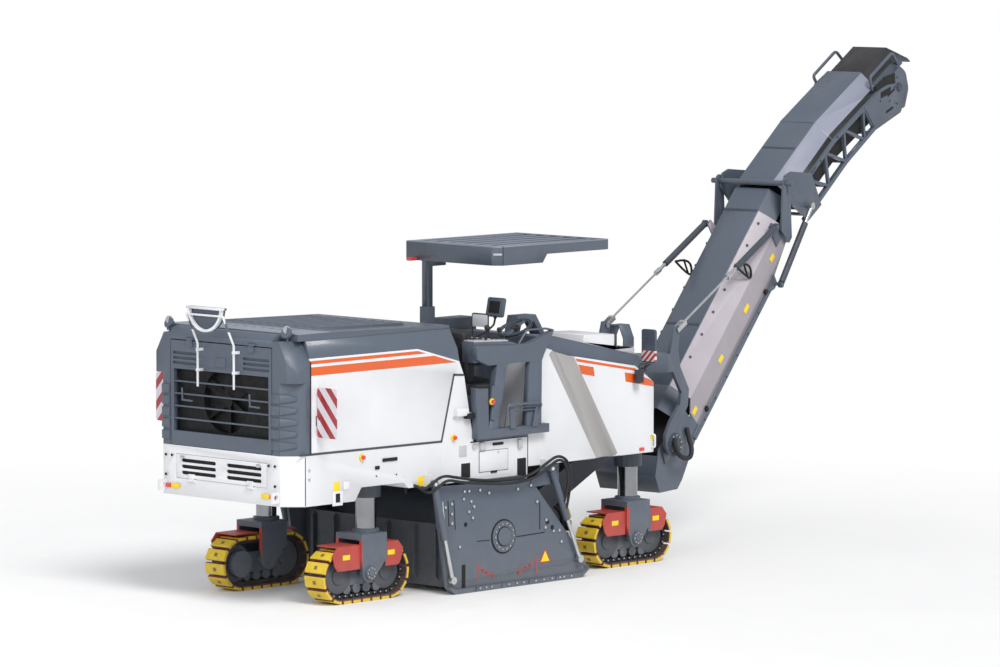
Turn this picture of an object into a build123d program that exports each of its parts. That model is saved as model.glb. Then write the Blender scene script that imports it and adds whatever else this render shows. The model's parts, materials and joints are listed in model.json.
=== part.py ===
from build123d import *
import os
from math import atan2, cos, degrees, hypot, pi, radians, sin, sqrt, tan

# Cold planer milling machine on four tracks, with a folding discharge conveyor at its front.
# Millimetres. X runs forward from the middle of the wheelbase, Y to the left, Z up from the ground.
# put() moves every piece by ORIGIN_X, which brings the origin under the middle of the machine's box.

os.makedirs("parts", exist_ok=True)

# ---------------------------------------------------------------- driving dimensions
ORIGIN_X = 2213.97
RUN_GAP = 0.3          # running clearance of pins, columns and seated rollers
MOVE_GAP = 8           # clearance between pieces that pass each other
FACETS = 16            # sides of rollers, columns and other small round pieces
BAR_SIDES = 8          # sides of thin bars
OPEN_GAP = 1           # a ram's rod ends this far beside the pin that it works on

# Tracks and their lifting columns
WHEELBASE = 3944
TRACK_Y = 733          # middle of the machine to the middle of a track
TRACK_HEIGHT = 552
TRACK_LENGTH = 1215
SHOE_WIDTH = 274
SHOE_THICK = 42
SHOE_COUNT = 21
SHOE_GAP = 15
SHOE_EDGE = 9
CHAIN_THICK = 40
CHAIN_WIDTH = 150
HUB_Z = 295
HUB_PIN_R = 52
HUB_DISC_R = 72
ROLLER_R = 55
ROLLER_COUNT = 4
BOGIE_WIDTH = 116
BOGIE_DEPTH = 210
REAR_COLUMN_LEAD = 129  # column ahead of the hub
FRONT_COLUMN_LEAD = 61
COLUMN_R = 105
COLUMN_TOP = 1180
FORK_GAP = 14
FORK_PLATE = 36
FORK_HALF = 178
FORK_CROWN_Z = 630
FORK_CROWN_THICK = 60
COLLAR_R = 136
COLLAR_H = 30
GUARD_GAP = 24
GUARD_PLATE = 12
GUARD_BOTTOM = 342
GUARD_REACH = 95         # past the middle of the round ends
SLEEVE_R = 150
SLEEVE_BOTTOM = 1045
STEP_DEPTH = 90

# Body: rear frame, engine hood and front body
BODY_HALF = 1034
CORNER = 179            # slanted rear corners
REAR_X = -3153
SKIRT_Z = 1058
ARCH_Z = 1190
MID_Z = 1128
SEAM_Z = 1563
REAR_FRAME_FRONT = -1061
WALL = 40
HOOD_BEND_Z = 2500
HOOD_WALL_TOP = 2700
HOOD_TOP_HALF = BODY_HALF - 72
HOOD_FRONT_X = -880
BULKHEAD_X = -990
HOOD_TOP_REAR = 2775
HOOD_TOP_FRONT = 2734
ROOF_CREST_X = -2851
ROOF_RIB_PITCH = 130
ROOF_RIB_HALF = 34
ROOF_RIBS = (
    # rear end, front end, rise, number side by side
    (-2480, -1240, 26, 11),
    (-2780, -2560, 10, 9),
)
CHEEK_FRONT = -2900
CHEEK_HEAD_Z = 2290       # foot of the broader head of each cheek
HEAD_CORNER = 79
HEAD_BEVEL = (-157, -617, 353)
RIB_COUNT = 5
RIB_LOW_Z = 1665
RIB_PITCH = 117
RIB_HALF = 44
RIB_RAISE = 14
FLAP_HALF = 665
FLAP_BOTTOM = 1230
FLAP_TOP = 1480
FLAP_THICK = 22
FLAP_SLOT = 19          # half height of the slots
FLAP_HINGES = (-430, 430)
DOOR_HINGES = (-450, 450)
HINGE_R = 11
HINGE_PIN_R = 5
HINGE_HALF = 40
LOCKER_DEPTH = 160
DOOR_RIGHT = 292 - BODY_HALF
DOOR_TOP = 2634
RADIATOR_SIDE = 52          # from the door's edge to the radiator pack's side
DOOR_THICK = 46
GRILLE_BOTTOM = 1712
GRILLE_TOP = 2340
SLAT_COUNT = 4
SLOT_ROWS = (GRILLE_TOP + 62, GRILLE_TOP + 112, GRILLE_TOP + 162)
SLOT_HALF = 14
ENGINE = (1500, 860, 880)
DECK_Z = 1525
PLATFORM_Z = 1585
FRONT_REAR_X = 200
FRONT_X = 2119
FRONT_Z = 1205
TUNNEL_HALF = 420

# Operator's stand
STAND_IN = BODY_HALF + 6
STAND_OUT = STAND_IN + 80
SEAT_Y = BODY_HALF - 414
SEAT_Z = 1985
SEAT_REAR = -505
SEAT_HALF = 235
RAIL_Z = 1645
CONSOLE_Z = 2300

# Milling drum and its housing
DRUM_X = -250
DRUM_Z = 470
DRUM_R = 375
DRUM_HALF = BODY_HALF - 134
TOOL_R = 450
TOOL_ROWS = 12
TOOLS_PER_ROW = 3
SHAFT_R = 110
HOUSING_GAP = 45
HOUSING_THICK = 30
HOUSING_END_OUT = BODY_HALF + 51
HOUSING_END_IN = HOUSING_END_OUT - 160
PLATE_THICK = 36
PLATE_LIP = HOUSING_END_OUT + 76
SCRAPER_THICK = 35
SCRAPER_REAR = -985
PLATE_RAM_Y = HOUSING_END_OUT + 81

# Primary conveyor, between the tracks, from the drum to the front
PRIMARY_FOOT = (420, 330)
PRIMARY_HEAD = (2520, 1400)
PRIMARY_HALF = 330
PRIMARY_DEPTH = 270
HANGER_X = 1400

# Discharge conveyor: slew axis, lift pivot and fold hinge
SLEW_X = 2550
SLEW_REST = 7           # degrees to the left
CROWN_BOTTOM = 1950
CROWN_TOP = 2150
CROWN_R = 130
SLEW_PIN_R = 60
LUG = 50
LIFT_L = 500
LIFT_Z = 1165
LIFT_REST = 47          # slope of the lower section
LIFT_PIN_R = 60
ARM_IN = 455
ARM_OUT = 495
PANEL_HALF = 400
PANEL_THICK = 14
SHEET = 14
COVER_HALF = 225
BELT_HALF = 330
SHAFT_END_R = 30
CHORD = 60
CHORD_V = -360          # underside of the lower section, measured from the lift pivot
COVER_V = 220
LOWER_START = 341
CHORD_END = 2430
LOWER_END = 3090
FOLD_U = 3450
KNUCKLE_START, KNUCKLE_END = 3010, 3085
FOLD_V = 262
HINGE_BAR_R = 30
COVER_T = -20            # top of the upper cover, below the fold hinge
UPPER_BEND = 1090        # where the upper section bends
UPPER_BEND_ANGLE = 7.5
COVER_END = 2155
HOOD_TOP_T = -199
HOOD_TIP = (2723, -266)
TOP_CHORD = [(60, -274), (1055, -274), (1931, -383), (2430, -457)]
BOTTOM_CHORD = [(120, -618), (1125, -618), (1793, -681), (2300, -842)]
UPPER_WEB = [(150, -618), (395, -274), (700, -618), (860, -274), (1125, -618), (1300, -305), (1560, -659), (1750, -360), (1793, -681)]
CROSS_TUBES = [(200, -618), (700, -618), (1125, -618), (1700, -672)]
HEAD_PULLEY_S = 2450
FOLD_KINK = 10          # the upper section is this much flatter
UPPER_HALF = 410
TUBE_R = 24
RAM_R = 36
ROD_R = 20
PIN_R = 20
LIFT_RAM_W = 475
LIFT_BARREL = 860
LIFT_BORE = 780
STAY_R = 12
ANCHOR = (550, 2400)    # (length, height) of the stay's anchor on the gooseneck
LIFT_LUG = (2950, 113)  # on the lower section
FOLD_RAM_W = 500
FOLD_EYE_WIDTH = 36
FOLD_BARREL = 800
FOLD_BORE = 720
FOLD_LUG = (2532, -368)  # on the lower section
FOLD_EYE = (188, -478)   # on the upper section

# Canopy
MAST_X = 186
MAST_Y = 416
MAST_OUTER = 112
MAST_INNER = 84
MAST_OUTER_TOP = 2780
CANOPY_BOTTOM = 3262
CANOPY_TOP = 3463
CANOPY_HALF = 672
CANOPY_REAR = 125
CANOPY_FRONT = 1796
CANOPY_CORNER = 90
CANOPY_STEP = 803
CANOPY_SHALLOW = 3350
CANOPY_WALL = 40
ROOF_RECESS = 18


# ---------------------------------------------------------------- helpers
def put(name, shape):
    """Write one node, moved to the machine's origin."""
    export_step(Pos(-ORIGIN_X, 0, 0) * shape, f"parts/{name}.step")


def box(x0, x1, y0, y1, z0, z1):
    """Block between two corners."""
    centre = Pos((x0 + x1) / 2, (y0 + y1) / 2, (z0 + z1) / 2)
    return centre * Box(abs(x1 - x0), abs(y1 - y0), abs(z1 - z0))


def side_slab(points, y0, y1):
    """Outline of (x, z) points, extruded from y0 to y1."""
    face = make_face(Polyline(*points, close=True))
    return Pos(0, max(y0, y1), 0) * Rot(90, 0, 0) * extrude(face, abs(y1 - y0))


def end_slab(points, x0, x1):
    """Outline of (y, z) points, extruded from x0 to x1."""
    face = make_face(Polyline(*points, close=True))
    return Pos(min(x0, x1), 0, 0) * Plane.YZ.location * extrude(face, abs(x1 - x0))


def plan_slab(points, z0, z1):
    """Outline of (x, y) points, extruded from z0 to z1."""
    face = make_face(Polyline(*points, close=True))
    return Pos(0, 0, min(z0, z1)) * extrude(face, abs(z1 - z0))


def across(x, z, radius, y0, y1):
    """Round bar along Y."""
    return Pos(x, (y0 + y1) / 2, z) * Rot(90, 0, 0) * Cylinder(radius, abs(y1 - y0))


def upright(x, y, radius, z0, z1):
    """Round bar along Z."""
    return Pos(x, y, (z0 + z1) / 2) * Cylinder(radius, abs(z1 - z0))


def many_sided(radius, height, sides=FACETS):
    """Prism along Z that stands for a small round bar; its corners lie on the radius."""
    return extrude(RegularPolygon(radius, sides), height / 2, both=True)


def roller(x, z, radius, y0, y1, sides=FACETS):
    """Many-sided bar along Y."""
    return Pos(x, (y0 + y1) / 2, z) * Rot(90, 0, 0) * many_sided(radius, abs(y1 - y0), sides)


def post(x, y, radius, z0, z1, sides=FACETS):
    """Many-sided bar along Z."""
    return Pos(x, y, (z0 + z1) / 2) * many_sided(radius, abs(z1 - z0), sides)


def bar(start, end, radius, sides=BAR_SIDES):
    """Many-sided bar between two points."""
    run = Vector(*end) - Vector(*start)
    middle = (Vector(*end) + Vector(*start)) * 0.5
    return Plane(origin=middle, z_dir=run) * many_sided(radius, run.length, sides)


def joined(pieces):
    """One solid of pieces that overlap or share a face."""
    return pieces[0] + pieces[1:]


def group(pieces):
    """Several solids of one node that don't touch."""
    return Compound([solid for piece in pieces for solid in piece.solids()])


def both_sides(piece):
    """The piece and its mirror image on the other side of the machine."""
    return [piece, mirror(piece, Plane.XZ)]


def along(start, end, radius):
    """Many-sided bar along X."""
    return Pos((start + end) / 2, 0, 0) * Rot(0, 90, 0) * many_sided(radius, end - start)


def eye(x, width):
    """Eye for a pin along Y, without its hole."""
    return roller(x, 0, 2 * PIN_R, -width / 2, width / 2)


def ram_barrel(barrel, bore, width):
    """Barrel of a hydraulic ram along X, with the hole of its eye at the origin."""
    tube = joined([eye(0, width), along(PIN_R * 1.5, barrel, RAM_R)])
    hole = across(0, 0, PIN_R + RUN_GAP, -width, width)
    return tube - hole - along(barrel - bore, barrel + 1, ROD_R + RUN_GAP)


def ram_rod(length, start, width):
    """Rod of the same ram from start, with its closed end at the ram's length."""
    return joined([along(start, length - PIN_R * 1.5, ROD_R), eye(length, width)])


def lay(start, end, y):
    """Place from one (x, z) point towards another."""
    slope = degrees(atan2(end[1] - start[1], end[0] - start[0]))
    return Pos(start[0], y, start[1]) * Rot(0, -slope, 0)


def span(start, end):
    return hypot(end[0] - start[0], end[1] - start[1])


# ---------------------------------------------------------------- crawlers
END_R = TRACK_HEIGHT / 2
STRAIGHT = TRACK_LENGTH - TRACK_HEIGHT
CHAIN_R = END_R - SHOE_THICK
CHAIN_INNER = CHAIN_R - CHAIN_THICK
FORK_IN = SHOE_WIDTH / 2 + FORK_GAP
FORK_OUT = FORK_IN + FORK_PLATE


def loop_slab(radius, width):
    """Slot-shaped block round both ends of the track, centred on the hub's column of air."""
    slot = SlotCenterToCenter(STRAIGHT, 2 * radius)
    return Pos(0, 0, END_R) * Rot(90, 0, 0) * extrude(slot, width / 2, both=True)


def station(s):
    """Point, outward angle and kind of place at length s along the chain's outer line."""
    half_round = pi * CHAIN_R
    if s < STRAIGHT:
        return s - STRAIGHT / 2, -90, False
    if s < STRAIGHT + half_round:
        return STRAIGHT / 2, -90 + degrees((s - STRAIGHT) / CHAIN_R), True
    if s < 2 * STRAIGHT + half_round:
        return STRAIGHT * 1.5 + half_round - s, 90, False
    return -STRAIGHT / 2, 90 + degrees((s - 2 * STRAIGHT - half_round) / CHAIN_R), True


def track():
    """Chain band with its shoes; on the round ends the flat shoes keep inside the end's radius."""
    loop = 2 * STRAIGHT + 2 * pi * CHAIN_R
    pitch = loop / SHOE_COUNT
    length = pitch - SHOE_GAP
    bite = 5
    pieces = [loop_slab(CHAIN_R, CHAIN_WIDTH) - loop_slab(CHAIN_INNER, CHAIN_WIDTH + 2)]
    for number in range(SHOE_COUNT):
        x, angle, on_end = station((number + 0.5) * pitch)
        face = sqrt(END_R**2 - (length / 2) ** 2) if on_end else END_R
        thick = face - CHAIN_R + bite
        shoe = Pos(face - thick / 2, 0, 0) * Box(thick, SHOE_WIDTH, length)
        rim = shoe.edges().filter_by(Axis.Y).sort_by(Axis.X)[-2:]
        shoe = chamfer(rim, SHOE_EDGE)
        pieces.append(Pos(x, 0, END_R) * Rot(0, -angle, 0) * shoe)
    return joined(pieces)


def bogie():
    """Roller frame inside the loop, with end wheels, rollers, hub pin and drive motor cover."""
    half = BOGIE_WIDTH / 2
    wheel_r = CHAIN_INNER - RUN_GAP
    beam = box(-STRAIGHT / 2, STRAIGHT / 2, -half, half, END_R - BOGIE_DEPTH / 2, END_R + BOGIE_DEPTH / 2)
    pieces = [beam]
    for end in (-1, 1):
        pieces.append(roller(end * STRAIGHT / 2, END_R, wheel_r, -half + 18, half - 18))
        pieces.append(roller(end * STRAIGHT / 2, END_R, wheel_r * 0.45, -half - 12, half + 12, BAR_SIDES))
    roller_z = END_R - CHAIN_INNER + RUN_GAP + ROLLER_R
    spacing = (STRAIGHT - 2 * ROLLER_R) / ROLLER_COUNT
    for number in range(ROLLER_COUNT):
        x = (number - (ROLLER_COUNT - 1) / 2) * spacing
        pieces.append(roller(x, roller_z, ROLLER_R, -half - 8, half + 8, BAR_SIDES))
    pieces.append(roller(0, HUB_Z, HUB_PIN_R, -FORK_OUT, FORK_OUT, BAR_SIDES))
    pieces.append(roller(0, HUB_Z, HUB_DISC_R, FORK_OUT, FORK_OUT + 12))
    pieces.append(roller(-STRAIGHT / 2, END_R, wheel_r * 0.72, -half - 70, -half))
    return pieces


def fork(lead):
    """Steered fork over the track, with its two leg plates, crown and lifting column."""
    rear = lead / 2 - FORK_HALF
    front = lead / 2 + FORK_HALF
    outline = [(rear, FORK_CROWN_Z), (front, FORK_CROWN_Z), (front, 430), (82, 252), (-82, 252), (rear, 430)]
    pieces = [box(rear, front, -FORK_OUT, FORK_OUT, FORK_CROWN_Z, FORK_CROWN_Z + FORK_CROWN_THICK)]
    for side in (-1, 1):
        plate = side_slab(outline, side * FORK_IN, side * FORK_OUT)
        plate += roller(0, HUB_Z, 96, side * FORK_IN, side * FORK_OUT)
        pieces.append(plate)
    crown_top = FORK_CROWN_Z + FORK_CROWN_THICK
    pieces.append(post(lead, 0, COLLAR_R, crown_top, crown_top + COLLAR_H))
    pieces.append(upright(lead, 0, COLUMN_R, crown_top, COLUMN_TOP))
    return pieces


def guards(lead):
    """Red covers beside and over the top run of the track, fore and aft of the fork; the round ends stay bare."""
    top = TRACK_HEIGHT + GUARD_GAP + GUARD_PLATE
    reach = STRAIGHT / 2 + GUARD_REACH
    side_out = FORK_IN + GUARD_PLATE
    pieces = []
    for end, edge in ((-1, lead / 2 - FORK_HALF), (1, lead / 2 + FORK_HALF)):
        outline = [(edge, GUARD_BOTTOM), (edge, top), (end * reach, top), (end * (reach + 70), top - 80),
                   (end * (reach + 40), GUARD_BOTTOM + 50), (end * reach, GUARD_BOTTOM)]
        pieces.append(side_slab(outline, FORK_IN, side_out))
        pieces.append(box(edge, end * reach, -SHOE_WIDTH / 2, side_out, top - GUARD_PLATE, top))
    return pieces


def undercarriage(lead):
    """What carries one track: roller frame on its hub pin, steered fork with its column, guards."""
    return joined(bogie() + fork(lead) + guards(lead))


CRAWLERS = (
    # name, hub x, side, column lead
    ("front_left", WHEELBASE / 2, 1, FRONT_COLUMN_LEAD),
    ("front_right", WHEELBASE / 2, -1, FRONT_COLUMN_LEAD),
    ("rear_left", -WHEELBASE / 2, 1, REAR_COLUMN_LEAD),
    ("rear_right", -WHEELBASE / 2, -1, REAR_COLUMN_LEAD),
)


def write_crawlers():
    loop = track()
    for name, hub_x, side, lead in CRAWLERS:
        for kind, piece in (("track", loop), ("undercarriage", undercarriage(lead))):
            if side < 0:
                piece = mirror(piece, Plane.XZ)
            put(f"{kind}_{name}", Pos(hub_x, side * TRACK_Y, 0) * piece)
    sleeves = []
    for name, hub_x, side, lead in CRAWLERS:
        x = hub_x + lead
        top = ARCH_Z if hub_x < 0 else FRONT_Z
        sleeve = post(x, side * TRACK_Y, SLEEVE_R, SLEEVE_BOTTOM, top)
        sleeves.append(sleeve - upright(x, side * TRACK_Y, COLUMN_R + RUN_GAP, 0, 2 * top))
    put("column_sleeves", group(sleeves))


# ---------------------------------------------------------------- body
FLAP_AXIS = (REAR_X - HINGE_R, FLAP_BOTTOM - 16)
DOOR_AXIS = (REAR_X - HINGE_R, DOOR_TOP + 16)


def hinge_pin(x, z, y, reach):
    """Pin with its two end lugs, standing out from a face by reach."""
    pieces = [across(x, z, HINGE_PIN_R, y - HINGE_HALF - 14, y + HINGE_HALF + 14)]
    for side in (-1, 1):
        inner = y + side * (HINGE_HALF + 2)
        pieces.append(box(x - HINGE_R, x + reach, inner, inner + side * 12, z - HINGE_R, z + HINGE_R))
    return pieces


def hinge_knuckle(x, z, y, leaf):
    """Knuckle turning on such a pin, with its leaf box."""
    knuckle = joined([across(x, z, HINGE_R, y - HINGE_HALF, y + HINGE_HALF), leaf])
    return knuckle - across(x, z, HINGE_PIN_R + RUN_GAP, y - HINGE_HALF - 1, y + HINGE_HALF + 1)


def rear_frame():
    """Lower rear body with slanted corners, wheel arches and the locker behind the flap."""
    axle = -WHEELBASE / 2
    outline = [
        (REAR_X, SKIRT_Z), (axle - 318, SKIRT_Z), (axle - 228, ARCH_Z), (axle + 372, ARCH_Z), (axle + 432, MID_Z),
        (REAR_FRAME_FRONT, MID_Z), (REAR_FRAME_FRONT, SEAM_Z), (REAR_X, SEAM_Z),
    ]
    body = side_slab(outline, -BODY_HALF, BODY_HALF)
    corners = body.edges().filter_by(Axis.Z).group_by(Axis.X)[0]
    body = chamfer(corners, CORNER)
    locker = box(REAR_X - 1, REAR_X + LOCKER_DEPTH, -FLAP_HALF, FLAP_HALF, FLAP_BOTTOM, FLAP_TOP)
    pins = [piece for y in FLAP_HINGES for piece in hinge_pin(FLAP_AXIS[0], FLAP_AXIS[1], y, HINGE_R + 1)]
    return joined([body - locker] + pins)


def bumper_flap():
    """Hinged flap in the bumper, with three rows of two slots."""
    gap = 4
    flap = box(REAR_X, REAR_X + FLAP_THICK, -FLAP_HALF + gap, FLAP_HALF - gap, FLAP_BOTTOM + gap, FLAP_TOP - gap)
    slot_length = FLAP_HALF - 150
    for row in range(3):
        z = FLAP_BOTTOM + 62 + row * 62
        for side in (-1, 1):
            end = slot_length / 2
            corners = [(-end, 0), (13 - end, FLAP_SLOT), (end - 13, FLAP_SLOT), (end, 0), (end - 13, -FLAP_SLOT), (13 - end, -FLAP_SLOT)]
            slot = make_face(Polyline(*corners, close=True))
            flap -= Pos(REAR_X, side * FLAP_HALF / 2, z) * Plane.YZ.location * extrude(slot, FLAP_THICK + 1, both=True)
    x, z = FLAP_AXIS
    knuckles = [hinge_knuckle(x, z, y, box(x - 3, x + 6, y - HINGE_HALF, y + HINGE_HALF, z, z + 70)) for y in FLAP_HINGES]
    leaves = [box(x + 5, REAR_X + 1, y - HINGE_HALF, y + HINGE_HALF, z + 30, z + 70) for y in FLAP_HINGES]
    return joined([flap] + knuckles + leaves)


def hood_side():
    """Right wall of the engine hood, leaning in above its bend, with its slanted front edge."""
    lean = BODY_HALF - HOOD_TOP_HALF
    section = [
        (-BODY_HALF, SEAM_Z), (-BODY_HALF, HOOD_BEND_Z), (-BODY_HALF + lean, HOOD_WALL_TOP),
        (-BODY_HALF + lean + WALL, HOOD_WALL_TOP), (-BODY_HALF + WALL, HOOD_BEND_Z - 8), (-BODY_HALF + WALL, SEAM_Z),
    ]
    outline = [
        (CHEEK_FRONT, SEAM_Z), (REAR_FRAME_FRONT, SEAM_Z), (-881, 2235), (-737, 2225), (-797, 2356),
        (HOOD_FRONT_X, HOOD_TOP_FRONT), (CHEEK_FRONT, HOOD_TOP_FRONT),
    ]
    wall = end_slab(section, CHEEK_FRONT, -700)
    return wall & side_slab(outline, -BODY_HALF, 0)


def pillar():
    """Right pillar that closes the hood's slanted front edge, down to the deck."""
    outline = [(REAR_FRAME_FRONT, SEAM_Z), (-881, 2235), (-737, 2225), (-600, DECK_Z), (REAR_FRAME_FRONT, DECK_Z)]
    return side_slab(outline, -BODY_HALF, -BODY_HALF + 3 * WALL)


def roof_z(x):
    """Height of the hood's roof, which falls towards the stand."""
    return HOOD_TOP_REAR - (x - ROOF_CREST_X) * (HOOD_TOP_REAR - HOOD_TOP_FRONT) / (HOOD_FRONT_X - ROOF_CREST_X)


def hood_roof():
    """Roof with its slope, its long louvre ribs and the short ones behind them."""
    rear = REAR_X + 150
    outline = [(rear, HOOD_WALL_TOP), (HOOD_FRONT_X, HOOD_WALL_TOP), (HOOD_FRONT_X, roof_z(HOOD_FRONT_X)),
               (ROOF_CREST_X, HOOD_TOP_REAR), (rear, HOOD_TOP_REAR)]
    pieces = [side_slab(outline, -HOOD_TOP_HALF, HOOD_TOP_HALF)]
    for start, end, rise, rows in ROOF_RIBS:
        ridge = [(start, HOOD_WALL_TOP + 10), (end, HOOD_WALL_TOP + 10), (end, roof_z(end)),
                 (end - 40, roof_z(end) + rise), (start + 40, roof_z(start) + rise), (start, roof_z(start))]
        for row in range(int(rows)):
            y = (row - (rows - 1) / 2) * ROOF_RIB_PITCH
            pieces.append(side_slab(ridge, y - ROOF_RIB_HALF, y + ROOF_RIB_HALF))
    return joined(pieces)


def cheek():
    """Right rear cheek: a ribbed foot on the slanted corner under a broader, bevelled head."""
    inner = DOOR_RIGHT - 6
    side = BODY_HALF - CORNER
    front = [(CHEEK_FRONT, -BODY_HALF), (CHEEK_FRONT, inner)]
    foot = plan_slab([(REAR_X, inner), (REAR_X, -side), (REAR_X + CORNER, -BODY_HALF)] + front, SEAM_Z, CHEEK_HEAD_Z + 10)
    head_side = BODY_HALF - HEAD_CORNER
    head = plan_slab([(REAR_X, inner), (REAR_X, -head_side), (REAR_X + HEAD_CORNER, -BODY_HALF)] + front,
                     CHEEK_HEAD_Z, HOOD_WALL_TOP)
    bevel = Plane(origin=(REAR_X, -head_side, HOOD_BEND_Z), z_dir=HEAD_BEVEL)
    head -= bevel.location * Pos(0, 0, 500) * Box(3000, 3000, 1000)
    corner = Plane(origin=(REAR_X, -side, 0), x_dir=(1, -1, 0), z_dir=(-1, -1, 0))
    pieces = [foot, head]
    for number in range(RIB_COUNT):
        z = RIB_LOW_Z + number * RIB_PITCH
        pieces.append(box(REAR_X - RIB_RAISE, REAR_X + 1, -side - 6, inner - 4, z - RIB_HALF, z + RIB_HALF))
        wedge = make_face(Polyline((0, -RIB_HALF), (170, -18), (170, 18), (0, RIB_HALF), close=True))
        pieces.append(corner.location * Pos(0, z, -1) * extrude(wedge, RIB_RAISE + 1))
    return joined(pieces)


def rear_visor():
    """Band over the grille door, with a raised centre pad."""
    outline = [(REAR_X, DOOR_TOP + 4), (REAR_X + 150, DOOR_TOP + 4), (REAR_X + 150, HOOD_TOP_REAR - 12),
               (REAR_X + 60, HOOD_TOP_REAR - 12), (REAR_X, HOOD_WALL_TOP)]
    band = side_slab(outline, DOOR_RIGHT - 6, -DOOR_RIGHT + 6)
    pins = [piece for y in DOOR_HINGES for piece in hinge_pin(DOOR_AXIS[0], DOOR_AXIS[1], y, HINGE_R + 1)]
    return joined([band] + pins)


def grille_door():
    """Rear door, hinged at its top edge, with slats across its opening."""
    gap = 6
    left = -DOOR_RIGHT - gap
    right = DOOR_RIGHT + gap
    door = box(REAR_X, REAR_X + DOOR_THICK, right, left, SEAM_Z + gap, DOOR_TOP - gap)
    door -= box(REAR_X - 1, REAR_X + DOOR_THICK + 1, right + 42, left - 42, GRILLE_BOTTOM, GRILLE_TOP)
    for z in SLOT_ROWS:
        door -= group(both_sides(box(REAR_X - 1, REAR_X + 24, 324, left - 30, z - SLOT_HALF, z + SLOT_HALF)))
    pieces = [door]
    pitch = (GRILLE_TOP - GRILLE_BOTTOM) / (SLAT_COUNT + 1)
    for number in range(SLAT_COUNT):
        z = GRILLE_BOTTOM + (number + 1) * pitch
        pieces.append(box(REAR_X + 4, REAR_X + 34, right + 41, left - 41, z - 7, z + 7))
    pieces.append(box(REAR_X - 6, REAR_X + 1, -75, 75, SLOT_ROWS[0] - 8, SLOT_ROWS[-1] - 14))
    for y in (420, -571):
        handle_z = GRILLE_BOTTOM + 2.5 * pitch
        pieces.append(bar((REAR_X - 2, y + 150, handle_z + 125), (REAR_X - 2, y + 142, handle_z), 10))
        pieces.append(bar((REAR_X - 2, y + 152, handle_z + 4), (REAR_X - 2, y, handle_z), 10))
    x, z = DOOR_AXIS
    for y in DOOR_HINGES:
        pieces.append(hinge_knuckle(x, z, y, box(x - 3, x + 6, y - HINGE_HALF, y + HINGE_HALF, z - 80, z)))
        pieces.append(box(x + 5, REAR_X + 1, y - HINGE_HALF, y + HINGE_HALF, z - 80, z - 34))
    return joined(pieces)


def radiator():
    """Radiator pack behind the grille, with its round fan opening and hub."""
    front = CHEEK_FRONT
    rear = REAR_X + DOOR_THICK + 30
    half = -DOOR_RIGHT - RADIATOR_SIDE
    pack = box(rear, front, -half, half, SEAM_Z, 2560)
    pack -= Pos(rear, 0, 2050) * Rot(0, 90, 0) * many_sided(330, 160, 24)
    blades = [Pos(rear + 40, 0, 2050) * Rot(angle, 0, 0) * Pos(0, 0, 170) * Rot(0, 0, 25) * Box(8, 90, 330)
              for angle in range(0, 360, 60)]
    hub = Pos(rear + 60, 0, 2050) * Rot(0, 90, 0) * many_sided(70, 90)
    return joined([pack, hub] + blades)


def mid_frame():
    """Middle of the chassis over the drum, with the hood's pillars and the bulkhead behind the seats."""
    chassis = box(REAR_FRAME_FRONT, FRONT_REAR_X, -BODY_HALF, BODY_HALF, MID_Z, DECK_Z)
    inside = BODY_HALF - 3 * WALL
    bulkhead = box(BULKHEAD_X - 30, BULKHEAD_X, -inside, inside, DECK_Z, HOOD_WALL_TOP)
    return joined([chassis, bulkhead] + both_sides(pillar()))


def write_body():
    put("rear_frame", rear_frame())
    put("bumper_flap", bumper_flap())
    wall = hood_side()
    put("hood_sides", group(both_sides(wall)))
    put("hood_roof", joined([hood_roof(), rear_visor()]))
    put("rear_cheeks", group(both_sides(cheek())))
    put("grille_door", grille_door())
    put("radiator", radiator())
    length, width, height = ENGINE
    engine_rear = CHEEK_FRONT + 120
    put("engine", box(engine_rear, engine_rear + length, -width / 2, width / 2, SEAM_Z, SEAM_Z + height))
    put("mid_frame", mid_frame())


# ---------------------------------------------------------------- front body
TOP_LINE = [(2119, 1951), (1833, 2141), (829, 2313), (461, 2424)]
DECK_LINE = [(2119, 1990), (1951, 2238), (621, 2533), (461, 2533)]


def front_side():
    """Right half of the front body, with the hollow diagonal flute on its side."""
    outline = [(FRONT_REAR_X, FRONT_Z), (FRONT_X, FRONT_Z)] + TOP_LINE + [(380, 2424), (FRONT_REAR_X, 1600)]
    body = side_slab(outline, -BODY_HALF, -TUNNEL_HALF)
    depth = 62
    chord = 155
    radius = (chord**2 + depth**2) / (2 * depth)
    foot = (1430, -BODY_HALF - radius + depth, FRONT_Z - 40)
    head = (640, -BODY_HALF - radius + depth, 2420)
    return body - bar(foot, head, radius)


def front_core():
    """Middle of the front body, raised in front over the primary conveyor."""
    outline = [(FRONT_REAR_X, FRONT_Z), (1500, FRONT_Z), (FRONT_X, 1500)] + TOP_LINE + [(380, 2424), (FRONT_REAR_X, 1600)]
    return side_slab(outline, -TUNNEL_HALF, TUNNEL_HALF)


def front_deck():
    """Slate deck over the front body."""
    lower = list(reversed(TOP_LINE))
    return side_slab(lower + DECK_LINE, -HOOD_TOP_HALF, HOOD_TOP_HALF)


def swivel_bracket():
    """Fork on the front body that holds the slew pin."""
    inner = FRONT_X
    pieces = [box(inner, inner + 40, -240, 240, 1560, CROWN_TOP + MOVE_GAP + LUG)]
    for z in (CROWN_BOTTOM - MOVE_GAP - LUG, CROWN_TOP + MOVE_GAP):
        pieces.append(box(inner, SLEW_X, -150, 150, z, z + LUG))
        pieces.append(post(SLEW_X, 0, 150, z, z + LUG))
    pieces.append(upright(SLEW_X, 0, SLEW_PIN_R, CROWN_BOTTOM - MOVE_GAP - LUG, CROWN_TOP + MOVE_GAP + LUG))
    return joined(pieces)


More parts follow.
